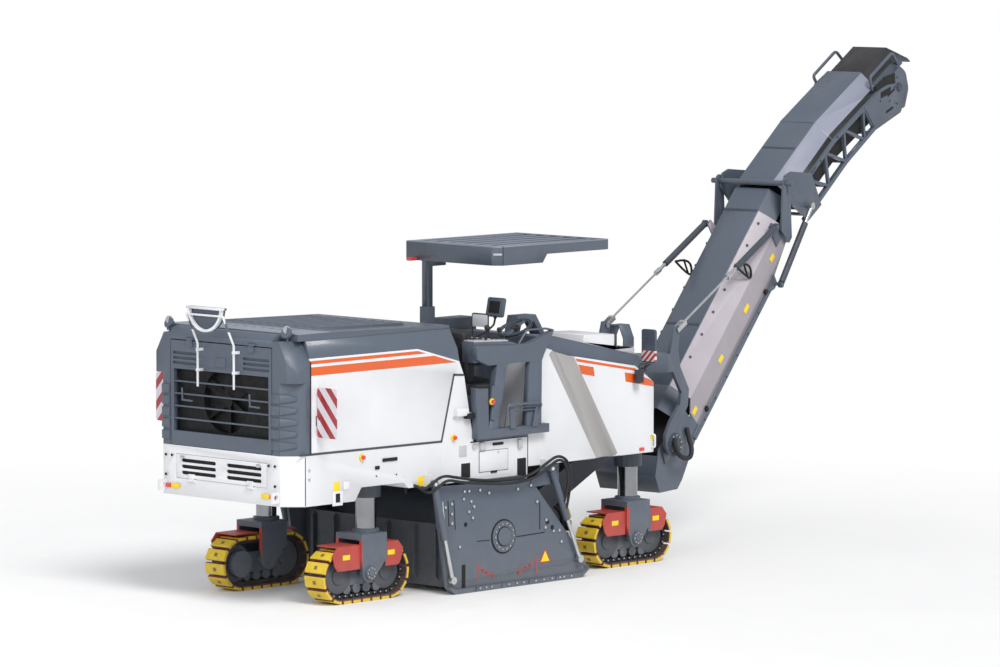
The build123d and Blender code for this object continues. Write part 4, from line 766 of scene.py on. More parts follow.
class PLANER_OT_stage(bpy.types.Operator):
    """Sets the camera, the soft lights, the white background and the pale floor"""
    bl_idname = "planer.stage"
    bl_label = "Set the stage"

    def execute(self, context):
        settings = context.scene.planer_stage
        low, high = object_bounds()
        deselect()
        bpy.ops.mesh.primitive_plane_add(size=FLOOR_SIZE, location=(MIDDLE_X, 0, low.z - FLOOR_DROP))
        floor = made()
        floor.name = "studio_floor"
        ground = Finish("studio_floor")
        tone = ground.spread(ground.noise(0.35, 4.0), 0.3, 0.7, 0.86, 0.89)
        shade = ground.add("ShaderNodeCombineColor")
        for socket in shade.inputs[:3]:
            ground.feed(socket, tone)
        ground.feed(ground.shader.inputs["Base Color"], shade.outputs[0])
        ground.feed(ground.shader.inputs["Roughness"],
                    ground.spread(ground.noise(3.0, 5.0), 0.3, 0.7, 0.6, 0.8))
        ground.bump(ground.noise(40.0, 3.0), 0.05)
        away = ground.add("ShaderNodeVectorMath", operation="LENGTH")
        ground.feed(away.inputs[0], ground.place)
        glow = ground.add("ShaderNodeEmission")
        glow.inputs["Color"].default_value = (1, 1, 1, 1)
        fade = ground.add("ShaderNodeMixShader")
        amount = ground.spread(away.outputs["Value"], settings.fade, settings.fade * FADE_REACH, 0.0, 1.0)
        for socket, value in zip(fade.inputs, (amount, ground.shader.outputs[0], glow.outputs[0])):
            ground.feed(socket, value)
        ground.feed(ground.tree.nodes["Material Output"].inputs["Surface"], fade.outputs[0])
        floor.data.materials.append(ground.material)

        sun = lamp("SUN", SUN_PLACE, SUN_FROM, energy=settings.sun, angle=settings.sun_angle, color=SUN_COLOUR)
        aim = at(*FILL_PLACE) - at(*FILL_AIM)
        fill = lamp("AREA", FILL_PLACE, aim, shape="RECTANGLE", size=FILL_SIZE[0], size_y=FILL_SIZE[1],
                    energy=FILL_POWER)
        bpy.ops.object.camera_add(location=at(*CAMERA_PLACE))
        camera = made()
        back = Vector(CAMERA_BACK).normalized()
        camera.rotation_mode = "QUATERNION"
        camera.rotation_quaternion = back.to_track_quat("Z", "Y")
        camera.data.sensor_width = 36
        camera.data.lens = settings.lens
        camera.data.clip_end = 400
        context.scene.camera = camera
        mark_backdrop(floor, sun, fill, camera)

        world = bpy.data.worlds.new("studio")
        context.scene.world = world
        world.use_nodes = True
        tree = world.node_tree
        tree.nodes.clear()
        output, mixed, seen, lit, path = (tree.nodes.new("ShaderNode" + kind) for kind in (
            "OutputWorld", "MixShader", "Background", "Background", "LightPath"))
        for node, colour, strength in ((seen, (1, 1, 1, 1), 1.0), (lit, SKY_COLOUR, settings.sky)):
            node.inputs["Color"].default_value = colour
            node.inputs["Strength"].default_value = strength
        for source, socket in ((path.outputs["Is Camera Ray"], mixed.inputs[0]),
                               (lit.outputs[0], mixed.inputs[1]),
                               (seen.outputs[0], mixed.inputs[2]), (mixed.outputs[0], output.inputs[0])):
            tree.links.new(source, socket)
        context.scene.view_settings.view_transform = "Standard"
        return {"FINISHED"}


# ---- paints
PAINTED = (
    # node, finish
    ("engine", "dark_slate_paint"), ("radiator", "gap_black"), ("mid_frame", "white_paint"),
    ("platform", "dark_slate_paint"), ("canopy_mast", "slate_paint"), ("drum_housing", "dark_slate_paint"),
    ("housing_ends", "dark_slate_paint"), ("milling_drum", "cutting_steel"), ("scraper", "dark_slate_paint"),
    ("column_sleeves", "dark_slate_paint"), ("ram_brackets", "white_paint"),
    ("primary_conveyor", "dark_slate_paint"),
    ("lift_stays", "steel"), ("fold_rods", "steel"), ("lift_barrels", "dark_slate_paint"),
    ("fold_barrels", "dark_slate_paint"), ("conveyor_lower_belt", "belt_rubber"),
    ("conveyor_upper_belt", "belt_rubber"), ("lashing_eyes", "white_paint"), ("work_lamps", "slate_paint"),
    ("swivel_bracket", "slate_paint"), ("warning_boards", "board_stripes"),
)
SOFTENED = (
    # node, finish, share of the edge rounding
    ("rear_frame", "white_paint", 2.0), ("hood_sides", "hood_paint", 1.2), ("hood_roof", "roof_paint", 1.0),
    ("rear_cheeks", "slate_paint", 1.6), ("front_body_sides", "front_paint", 2.4),
    ("front_body_core", "slate_paint", 2.0), ("service_box", "white_paint", 2.0),
    ("arch_cover", "slate_paint", 0.6),
    ("canopy", "canopy_paint", 2.4), ("stand_frames", "slate_paint", 1.2), ("bumper_flap", "white_paint", 0.6),
    ("side_plate_right", "slate_paint", 0.8), ("side_plate_left", "slate_paint", 0.8),
    ("swivel_frame", "slate_paint", 1.6), ("conveyor_lower", "conveyor_lower_paint", 0.6),
    ("conveyor_upper", "conveyor_upper_paint", 0.6), ("head_hood", "head_hood_paint", 0.8),
    ("grille_door", "slate_paint", 0.5), ("rear_tray", "tray_paint", 0.4), ("mirror", "mirror_parts", 0.5),
)


def section_run(paint, section, axis):
    """Coordinate of a point along one axis of a conveyor section."""
    direction = Vector((section[0][axis], section[1][axis], section[2][axis]))
    return paint.run(direction, section.translation)


def conveyor_lower_paint():
    """Lower section: slate frame and top, pale leaning cover sides, greyer side panels with a darker foot."""
    paint = Finish("conveyor_lower_paint")
    along = section_run(paint, LOWER, 0)
    aside = paint.size(section_run(paint, LOWER, 1))
    up = section_run(paint, LOWER, 2)
    near = paint.all(paint.over(along, 0.50), paint.under(aside, 0.402))
    panel = paint.all(near, paint.over(up, -0.318), paint.under(up, 0.001),
                      paint.over(aside, 0.380))
    leaning = paint.all(near, paint.over(up, 0.001), paint.under(up, 0.212))
    foot = paint.under(up, -0.265)
    base = paint.blend(foot, tone("panel_grey", 0.74), tone("panel_grey", 0.50))
    base = paint.blend(panel, tone("slate"), base)
    base = paint.blend(leaning, base, tone("panel_grey"))
    return paint.surface(base, rough=(0.34, 0.48), wear=0.06, coat=0.1)


UPPER_BEND = 1.09
UPPER_FALL = 0.1317      # fall of the upper cover past its bend


def conveyor_upper_paint():
    """Upper section: slate truss and top, lilac leaning cover sides over a painted shadow in the gap below
    them.
    """
    paint = Finish("conveyor_upper_paint")
    aside = paint.size(section_run(paint, UPPER, 1))
    past = paint.most(paint.less(section_run(paint, UPPER, 0), UPPER_BEND), 0)
    up = paint.plus(section_run(paint, UPPER, 2), paint.times(past, UPPER_FALL))
    side = paint.all(paint.over(up, -0.249), paint.under(up, -0.030),
                     paint.under(aside, 0.387))
    # the near-black strip at the foot of the cover sides is painted shadow
    shadow = paint.all(side, paint.under(up, -0.205))
    base = paint.blend(side, tone("slate"), srgb(140, 144, 161))
    base = paint.blend(shadow, base, srgb(26, 27, 30))
    return paint.surface(base, rough=(0.36, 0.5), wear=0.06)


def head_hood_paint():
    """Hood over the head end: black upper part, slate skirt."""
    paint = Finish("head_hood_paint")
    fall = paint.times(paint.less(section_run(paint, UPPER, 0), 2.157), 0.118)
    up = paint.plus(section_run(paint, UPPER, 2), fall)
    upper = paint.over(up, -0.325)
    base = paint.blend(upper, tone("slate", 0.8), srgb(46, 46, 49))
    return paint.surface(base, rough=(0.45, 0.6), wear=0.12)


def tray_paint():
    """Rear tray: white rim and silver legs, slate plate."""
    paint = Finish("tray_paint")
    low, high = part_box("rear_tray")
    back = paint.over(paint.run((1, 0, 0), Vector((low.x, 0, 0))), 0.040)
    plate = paint.all(back, paint.over(paint.run((0, 0, 1)), high.z - 0.24))
    base = paint.blend(plate, srgb(222, 224, 228), tone("slate"))
    return paint.surface(base, rough=(0.25, 0.4), wear=0.05)


def mirror_parts():
    """Mirror: dark slate back with a red and white corner, dark arm and box."""
    paint = Finish("mirror_parts")
    low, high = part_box("mirror")
    tall = paint.over(paint.run((0, 0, 1)), high.z - 0.34)
    height = paint.run((0, 0, 1))
    wave = paint.fraction(paint.times(paint.run((0, 1, 1)), 14.0))
    stripes = paint.blend(paint.over(wave, 0.5), srgb(206, 204, 204), srgb(170, 44, 44))
    corner = paint.all(tall, paint.under(height, high.z - 0.225))
    base = paint.blend(tall, srgb(48, 50, 56), srgb(74, 82, 94))
    base = paint.blend(corner, base, stripes)
    return paint.surface(base, rough=(0.2, 0.35), wear=0.06)


SPECIAL_FINISHES = {builder.__name__: builder for builder in (
    hood_paint, front_paint, board_stripes, canopy_paint, roof_paint, conveyor_lower_paint,
    conveyor_upper_paint,
    head_hood_paint, tray_paint, mirror_parts)}


class PLANER_OT_paint(bpy.types.Operator):
    """Paints the CAD nodes and rounds the edges of the big panels"""
    bl_idname = "planer.paint"
    bl_label = "Paint the machine"

    def execute(self, context):
        for node, material in PAINTED:
            paint(node, material)
        for node, material, share in SOFTENED:
            softened(node, sizes().edge * share, material)
        for name in UNITS:
            paint("track_" + name, track_finish("track_" + name))
            paint("undercarriage_" + name, undercarriage_finish("undercarriage_" + name))
        for node in NODES:
            if node.startswith("plate_barrel"):
                paint(node, "slate_paint")
            if node.startswith("plate_rod"):
                paint(node, "steel")
        for node in ("seats", "console"):
            if not NODES[node].data.materials:
                paint(node, "rubber" if node == "seats" else "slate_paint")
        return {"FINISHED"}


# ---- body fittings
SIDE_STOPS = (
    # x, z of the emergency stops on the right side of the body
    (-2.197, 1.493), (-0.893, 1.590),
)
SIDE_SLOTS = (
    # x, z, width, height of the dark slots, and of the pockets whose black insides are painted shade
    (-1.802, 1.440, 0.205, 0.034), (-1.980, 1.371, 0.058, 0.034), (-2.535, 1.112, 0.060, 0.090),
    (-0.722, 1.240, 0.128, 0.148), (0.098, 1.200, 0.128, 0.205), (-1.710, 1.282, 0.012, 0.012),
    (-1.992, 1.286, 0.012, 0.012), (-0.307, 1.196, 0.085, 0.024), (-0.245, 1.478, 0.150, 0.026),
)
SIDE_PLATES = (
    # name, x, z, width, height, rise, finish
    ("reflector", 1.925, 1.250, 0.070, 0.034, 0.010, "signal_red"),
    ("winch_box", -0.805, 1.845, 0.160, 0.075, 0.055, "white_paint"),
    ("winch_foot", -0.745, 1.815, 0.180, 0.030, 0.030, "white_paint"),
    ("label_rear", -2.543, 1.222, 0.085, 0.096, 0.002, "label_yellow"),
    ("label_middle", -1.345, 1.182, 0.120, 0.099, 0.002, "label_yellow"),
    ("socket_cover", -2.418, 1.228, 0.081, 0.079, 0.016, "white_paint"),
    ("towing_rim", -2.535, 1.107, 0.138, 0.146, 0.006, "white_paint"),
    ("grey_patch", -0.756, 1.439, 0.109, 0.114, 0.001, "panel_pale"),
    ("pocket_rim", -0.722, 1.251, 0.162, 0.158, 0.004, "white_paint"),
    ("pocket_rim_front", 0.100, 1.203, 0.164, 0.232, 0.004, "white_paint"),
    ("hatch", -0.311, 1.311, 0.416, 0.212, 0.005, "white_paint"),
)
SIDE_BRACKETS = (
    # x, z, width, height of the small grey brackets under the step rail
    (-0.480, 1.470, 0.075, 0.080), (0.070, 1.455, 0.055, 0.090), (-0.600, 1.480, 0.040, 0.036),
)
BODY_SCREWS = (
    # x, z
    (-2.924, 1.418), (-2.925, 1.327), (-0.890, 1.790), (-0.670, 1.790), (-0.247, 1.392),
)


def frame_lines(x, z, width, height, line, y):
    """Four thin strips round a rectangle on the body's side."""
    return [block(at(x, y, z + side * height / 2), (width + line, 0.004, line)) for side in (-1, 1)] + \
           [block(at(x + side * width / 2, y, z), (line, 0.004, height - line)) for side in (-1, 1)]


class PLANER_OT_body_fittings(bpy.types.Operator):
    """Adds the seams, stops, slots, hatch and plates of the body's right side"""
    bl_idname = "planer.body_fittings"
    bl_label = "Body fittings"

    def execute(self, context):
        face = RIGHT * BODY_Y
        seal = sizes().seal
        runs = [(-3.05, 1.577), (-1.064, 1.563), (-0.884, 2.231), (-0.745, 2.221)]
        seams = []
        for (x0, z0), (x1, z1) in zip(runs, runs[1:]):
            run = Vector((x1 - x0, 0, z1 - z0))
            seams.append(block(at((x0 + x1) / 2, face, (z0 + z1) / 2), (run.length + seal / 2, 0.006, seal),
                               turn=(0, -math.atan2(run.z, run.x), 0)))
        group("side_seams", seams, "dark_slate_paint")
        dark = [block(at(-2.898, face, 2.03), (0.010, 0.006, 0.93)),
                block(at(-2.9745, face, 1.31), (0.008, 0.003, 0.49))]
        # dark slots, and black pocket insides that are painted shade
        dark += [block(at(x, face - 0.004, z), (width, 0.014, height), 0.002) for x, z, width,
                 height in SIDE_SLOTS]
        dark += frame_lines(-0.311, 1.311, 0.416, 0.212, 0.006, face - 0.004)
        dark += [block(at(-0.23, face, 1.522), (0.83, 0.006, 0.012)),
                 block(at(0.196, face, 1.31), (0.008, 0.006, 0.43))]
        group("side_gaps", dark, "gap_black")
        for name, x, z, width, height, rise, material in SIDE_PLATES:
            group(name, [block(at(x, face - rise / 2, z), (width, rise + 0.004, height), min(0.004, rise / 2))],
                  material)
        brackets = [block(at(x, face - 0.014, z), (width, 0.030, height), 0.003) for x, z, width,
                    height in SIDE_BRACKETS]
        group("side_brackets", brackets, "panel_pale")
        plug = [block(at(-0.700, face - 0.035, 1.800), (0.100, 0.060, 0.055), 0.006),
                disc(at(-0.650, face - 0.035, 1.795), 0.022, 0.07, "X", 0.004)]
        group("winch_plug", plug, "gap_black")
        caps, rings = [], []
        for x, z in SIDE_STOPS:
            rings.append(disc(at(x, face - 0.008, z), 0.034, 0.02, bevel=0.004))
            caps.append(disc(at(x, face - 0.028, z), 0.021, 0.03, bevel=0.006))
        group("stop_rings", rings, "label_yellow")
        group("stop_buttons", caps, "signal_red")
        group("body_screws", [bolt(at(x, face - 0.004, z), radius=0.013) for x, z in BODY_SCREWS], "steel")
        mark = sheet_plate([(2.055, 1.366), (2.085, 1.322), (2.115, 1.366), (2.085, 1.410)], -0.002, "Y",
                           face - 0.001)
        eye = pipe([at(2.075, face + 0.03, 1.395), at(2.085, face - 0.045, 1.395),
                    at(2.085, face - 0.045, 1.262),
                    at(2.075, face + 0.03, 1.262)], 0.011, 0.03)
        group("corner_grip", [eye], "white_paint")
        group("corner_warning", [mark], "label_yellow", "chassis", SHIFT)
        return {"FINISHED"}


class PLANER_OT_rear_fittings(bpy.types.Operator):
    """Adds the rear lamps, reflectors, plates and latches"""
    bl_idname = "planer.rear_fittings"
    bl_label = "Rear fittings"

    def execute(self, context):
        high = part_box("bumper_flap")[1]
        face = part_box("rear_frame")[0].x
        lens, plate, plugs, latch = [], [], [], []
        for side in (LEFT, RIGHT):
            lens.append(block((face + 0.005, side * 0.765, 1.15), (0.018, 0.070, 0.042), 0.004))
            plate.append(block((face + 0.004, side * 0.662, 1.15), (0.012, 0.115, 0.046), 0.003))
            plugs += [disc((face + 0.004, side * y, z), 0.014, 0.012, "X", 0.003, 16)
                      for y, z in ((0.80, 1.46), (0.80, 1.26), (0.71, 1.46))]
            latch.append(block((face + 0.002, side * 0.56, high.z - 0.028), (0.016, 0.040, 0.034), 0.004))
        group("rear_lenses", lens, "signal_red")
        group("rear_plates", plate, "label_yellow")
        group("rear_plugs", plugs, "gap_black")
        group("flap_latches", latch, "steel", "bumper_flap")
        flap_low, flap_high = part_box("bumper_flap")
        # black sheets behind the flap's slots are painted shade, standing for the dark locker behind them
        shade = [block((flap_high.x + 0.004, side * 0.335, 1.355), (0.003, 0.62, 0.235)) for side in (LEFT,
                                                                                                      RIGHT)]
        group("flap_painted_shade", shade, "gap_black")
        lamp_low, lamp_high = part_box("work_lamps")
        glass = []
        for side in (LEFT, RIGHT):
            centre = Vector(((lamp_low.x + lamp_high.x) / 2 - 0.012, side * 0.862,
                             (lamp_low.z + lamp_high.z) / 2 + 0.045))
            lens_piece = disc(centre, 0.040, 0.012, "Z", 0.004, 32)
            lens_piece.rotation_euler = (math.radians(20), math.radians(-70), 0)
            glass.append(lens_piece)
        group("work_lamp_glass", glass, "lamp_glass")
        canopy_low, canopy_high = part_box("canopy")
        tail = block((canopy_low.x - 0.040, canopy_high.y - 0.13, canopy_high.z - 0.185), (0.11, 0.06, 0.035),
                     0.006)
        tag = block((canopy_low.x + CORNER_CUT / 2, canopy_low.y + CORNER_CUT / 2, canopy_high.z - 0.085),
                    (0.090, 0.006, 0.022), 0.001, (0, 0, math.radians(-45)))
        group("canopy_tag", [tag], "panel_pale", "canopy")
        group("canopy_tail_lamp", [tail], "signal_red", "canopy")
        return {"FINISHED"}


# ---- stand
class PLANER_OT_seats(bpy.types.Operator):
    """Adds upholstered seats in place of the plain ones"""
    bl_idname = "planer.seats"
    bl_label = "Seats"

    def cushion(self, name, centre, size, turn, swell):
        """Stuffed pad: a subdivided box with rounded corners."""
        pad = block(centre, size, turn=turn)
        pick(pad)
        bpy.ops.object.mode_set(mode="EDIT")
        bpy.ops.mesh.select_all(action="SELECT")
        bpy.ops.mesh.subdivide(number_cuts=5, smoothness=swell)
        bpy.ops.object.mode_set(mode="OBJECT")
        corner = pad.modifiers.new("Corners", "BEVEL")
        corner.width = 0.03
        corner.segments = 3
        corner.limit_method = "ANGLE"
        corner.angle_limit = math.radians(40)
        smooth = pad.modifiers.new("Smooth", "SUBSURF")
        smooth.levels = smooth.render_levels = 1
        piece = settle(pad, name, "chassis", "leather", 60)
        return piece

    def execute(self, context):
        low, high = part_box("seats")
        top = low.z + 0.110
        lean = math.atan2(0.05, 0.53)
        for name, side in SIDES:
            y = side * (high.y - 0.235)
            pads = [
                self.cushion(f"seat_cushion_{name}", (low.x + 0.255, y, top - 0.055), (0.44, 0.45, 0.12), None,
                             0.35),
                self.cushion(f"seat_back_{name}", (low.x + 0.075, y, top + 0.265), (0.11, 0.43, 0.52),
                             (0, -lean, 0), 0.35),
            ]
            shell = [block((low.x + 0.010, y, top + 0.23), (0.025, 0.40, 0.52), 0.01, (0, -lean, 0)),
                     block((low.x + 0.235, y, low.z + 0.006), (0.42, 0.42, 0.012), 0.004),
                     block((low.x + 0.050, y, low.z + 0.06), (0.05, 0.22, 0.12), 0.008)]
            group(f"seat_shell_{name}", shell, "rubber")
            arms = [pipe([(low.x + 0.05, y + out * 0.225, top + 0.20),
                          (low.x + 0.34, y + out * 0.225, top + 0.21)], 0.022)
                    for out in (LEFT, RIGHT)]
            group(f"seat_arms_{name}", arms, "rubber")
        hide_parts("seats")
        return {"FINISHED"}


class PLANER_OT_console(bpy.types.Operator):
    """Adds the steering wheel, display, knobs and armrest of the console"""
    bl_idname = "planer.console"
    bl_label = "Console"

    def execute(self, context):
        softened("console", sizes().edge * 2, "slate_paint")
        tilt = (0, math.radians(-25), 0)
        centre = at(0.335, -0.72, 2.612)
        deselect()
        bpy.ops.mesh.primitive_torus_add(major_radius=0.172, minor_radius=0.016, major_segments=36,
                                         minor_segments=10,
                                         location=centre, rotation=tilt)
        rim = made()
        hub = disc(centre - Vector((0, 0, 0.004)), 0.05, 0.045, "Z", 0.008)
        hub.rotation_euler = tilt
        group("steering_wheel", [rim, hub], "rubber")
        desk_tilt = (0, math.radians(2.6), 0)
        desk = [block(at(-0.335, -0.955, 2.538), (0.50, 0.150, 0.018), 0.005, desk_tilt),
                block(at(-0.005, -0.48, 2.508), (0.10, 0.62, 0.018), 0.005, (0, math.radians(14), 0))]
        group("console_panel", desk, "panel_pale")
        stems, caps = [], []
        for number in range(sizes().knobs):
            for y in (-0.995, -0.915):
                spot = at(-0.555 + number * 0.088, y, 2.555 - number * 0.004)
                stems.append(disc(spot, 0.011, 0.034, "Z", 0.003, 12))
                caps.append(ball(spot + Vector((0, 0, 0.022)), 0.016))
        lever = [pipe([at(-0.40, -1.015, 2.54), at(-0.39, -1.02, 2.66)], 0.009, 0),
                 ball(at(-0.388, -1.021, 2.68), 0.030),
                 pipe([at(-0.16, -0.95, 2.53), at(-0.14, -0.95, 2.62)], 0.008, 0),
                 ball(at(-0.138, -0.95, 2.64), 0.026)]
        group("console_stems", stems, "steel")
        group("console_knobs", caps + lever, "rubber")
        screen = [block(at(0.43, -0.35, 2.80), (0.045, 0.25, 0.205), 0.020, (0, math.radians(12), 0))]
        group("display", screen, "slate_paint")
        glass = [block(at(0.405, -0.35, 2.805), (0.006, 0.150, 0.125), 0.002, (0, math.radians(12), 0))]
        group("display_glass", glass, "gap_black")
        stalk = [pipe([at(0.06, -0.35, 2.49), at(0.30, -0.35, 2.56), at(0.40, -0.35, 2.62),
                       at(0.425, -0.35, 2.72)], 0.011, 0.03),
                 ball(at(0.418, -0.35, 2.70), 0.020)]
        group("display_stalk", stalk, "rubber")
        shield = [block(at(0.045, -0.50, 2.695), (0.008, 0.225, 0.130), 0.003)]
        group("console_shield", shield, "clear_plate")
        rim_points = [at(0.045, -0.50 + y, z) for y,
                      z in ((-0.115, 2.52), (-0.115, 2.765), (0.115, 2.765), (0.115, 2.52))]
        group("shield_rim", [pipe(rim_points, 0.007, 0.02)], "rubber")
        arch = [(0.62, 2.44), (0.69, 2.70), (0.96, 2.70), (1.12, 2.46), (1.04, 2.46), (0.93, 2.62),
                (0.75, 2.62), (0.69, 2.44)]
        hood = sheet_plate(arch, 0.16, "Y", -0.42, 0.008)
        group("wheel_hood", [hood], "slate_paint", "chassis", SHIFT)
        chest = block(at(0.59, 0.42, 2.533), (0.43, 0.24, 0.225), 0.012)
        group("deck_chest", [chest], "slate_paint")
        rail = [at(0.02, -1.075, 2.36), at(0.02, -1.075, 2.49), at(0.14, -1.075, 2.625),
                at(0.42, -1.075, 2.625),
                at(0.53, -1.075, 2.60)]
        group("console_rail", [pipe(rail, 0.011, 0.03)], "slate_paint")
        post_box = [block(at(-0.40, -1.112, 1.99), (0.070, 0.040, 0.20), 0.006, (0, math.radians(10), 0)),
                    block(at(-0.40, -1.112, 1.80), (0.060, 0.030, 0.12), 0.006, (0, math.radians(10), 0))]
        group("post_box", post_box, "slate_paint")
        stop = [disc(at(-0.436, -1.138, 1.932), 0.034, 0.02, bevel=0.004)]
        group("stand_stop_ring", stop, "label_yellow")
        button = [disc(at(-0.436, -1.156, 1.932), 0.021, 0.03, bevel=0.006)]
        group("stand_stop_button", button, "signal_red")
        return {"FINISHED"}


class PLANER_OT_rails(bpy.types.Operator):
    """Adds the step baskets of rails, their feet and the pads on the cabinets"""
    bl_idname = "planer.rails"
    bl_label = "Rails and steps"

    def execute(self, context):
        radius = sizes().rail
        for name, side in SIDES:
            inner, outer = side * 1.10, side * 1.155
            rear, front, low, top = -0.20, 0.235, 1.63, 1.885
            rails = [pipe([at(rear, inner, low + 0.02), at(rear - 0.02, outer, top),
                           at(front + 0.05, outer, top - 0.01),
                           at(front, inner, low)], radius, 0.05)]
            rails += [pipe([at(rear - 0.01, side * (1.147 - 0.012 * step), top - 0.035 * step),
                            at(front + 0.04, side * (1.147 - 0.012 * step), top - 0.010 - 0.035 * step)],
                            radius * 0.6, 0)
                      for step in (1, 2)]
            group(f"step_basket_{name}", rails, "slate_paint")
            feet = [sheet_plate([(x, low), (x + 0.08, low), (x + 0.075 + lean, low + 0.21),
                                 (x + 0.015 + lean, low + 0.21)],
                                side * 0.012, "Y", side * 1.122, 0.002) for x,
                                lean in ((-0.155, -0.03), (0.165, 0.035))]
            group(f"basket_feet_{name}", feet, "slate_paint", "chassis", SHIFT)
        lid = [block(at(-0.560, side * 1.100, 2.100), (0.17, 0.08, 0.028), 0.010) for side in (RIGHT, LEFT)]
        group("cabinet_pads", lid, "rubber")
        return {"FINISHED"}


# ---- side plates
PLATE_BOLTS = (
    # x, z
    (-0.830, 1.041), (-0.765, 1.039), (-0.605, 1.036), (-0.473, 0.997), (-0.842, 0.965), (-0.733, 0.930),
    (-0.692, 0.875), (-0.765, 0.827), (-0.709, 0.760), (-0.050, 1.001), (0.143, 1.024), (0.235, 0.847),
    (0.372, 0.645), (0.359, 0.568), (0.480, 0.520), (0.570, 0.520), (0.600, 0.400), (-0.900, 0.480),
)
EDGE_BOLTS = (
    # x, z of the bolts up the rear edge of the plate
    (-1.011, 0.928), (-1.011, 0.826), (-1.011, 0.729), (-1.105, 0.900),
)
SKID_BOLTS = (-0.64, -0.55, -0.47, -0.22, -0.10, 0.0, 0.18, 0.30, 0.42, 0.54, 0.60, 0.71)
SKID_JOINTS = (-0.70, -0.32, 0.08, 0.48)
SIGN_STROKES = (
    # strokes of the red drum signs: x and z of both ends, width
    (-0.628, 0.105, -0.628, 0.280, 0.014), (-0.620, 0.232, -0.405, 0.135, 0.013),
    (-0.560, 0.178, -0.560, 0.236, 0.011),
    (-0.505, 0.152, -0.505, 0.212, 0.011), (-0.408, 0.098, -0.408, 0.180, 0.012),
    (0.229, 0.090, 0.229, 0.288, 0.014), (-0.040, 0.130, 0.222, 0.232, 0.013),
    (-0.036, 0.098, -0.036, 0.180, 0.012),
    (0.070, 0.142, 0.070, 0.200, 0.011), (0.135, 0.135, 0.135, 0.232, 0.012),
)
DRUM_CENTRE = (-0.255, 0.53)
PLATE_OUT = 1.1213      # outer face of the side plates
HOSE_RUNS = (
    # name, points as x, offset outwards from the plate, z
    ("upper", ((-1.46, -0.114, 1.150), (-1.42, -0.02, 1.10), (-1.36, 0.04, 1.17), (-1.22, 0.06, 1.245),
               (-1.02, 0.06, 1.205),
               (-0.70, 0.05, 1.150), (-0.30, 0.05, 1.115), (0.02, 0.05, 1.130), (0.17, 0.06, 1.185),
               (0.30, 0.07, 1.255),
               (0.45, 0.07, 1.318), (0.59, 0.07, 1.265), (0.635, 0.07, 1.14), (0.660, 0.06, 0.98),
               (0.605, 0.048, 0.75))),
    ("lower", ((-1.42, -0.114, 1.140), (-1.37, -0.01, 1.05), (-1.30, 0.06, 1.12), (-1.18, 0.08, 1.200),
               (-1.00, 0.08, 1.160),
               (-0.70, 0.07, 1.118), (-0.30, 0.07, 1.080), (0.02, 0.07, 1.092), (0.19, 0.08, 1.145),
               (0.32, 0.08, 1.215),
               (0.45, 0.08, 1.280), (0.56, 0.08, 1.235), (0.61, 0.07, 1.10), (0.625, 0.06, 0.98),
               (0.570, 0.050, 0.82))),
)
# the hose loop at the conveyor's foot, along, across and square to its lower section
FOOT_LOOP = ((0.02, -0.512, 0.060), (-0.05, -0.545, 0.050), (-0.100, -0.560, -0.050), (-0.050, -0.560, -0.190),
             (0.030, -0.550, -0.265), (0.130, -0.530, -0.250), (0.220, -0.470, -0.200), (0.330, -0.412, -0.150))


def stroke(x0, z0, x1, z1, width, y, thick):
    """Flat strip on the plate from one point to another."""
    run = Vector((x1 - x0, z1 - z0)).normalized() * width / 2
    corners = [(x0 - run.y, z0 + run.x), (x1 - run.y, z1 + run.x), (x1 + run.y, z1 - run.x),
               (x0 + run.y, z0 - run.x)]
    return sheet_plate(corners, thick, "Y", y)


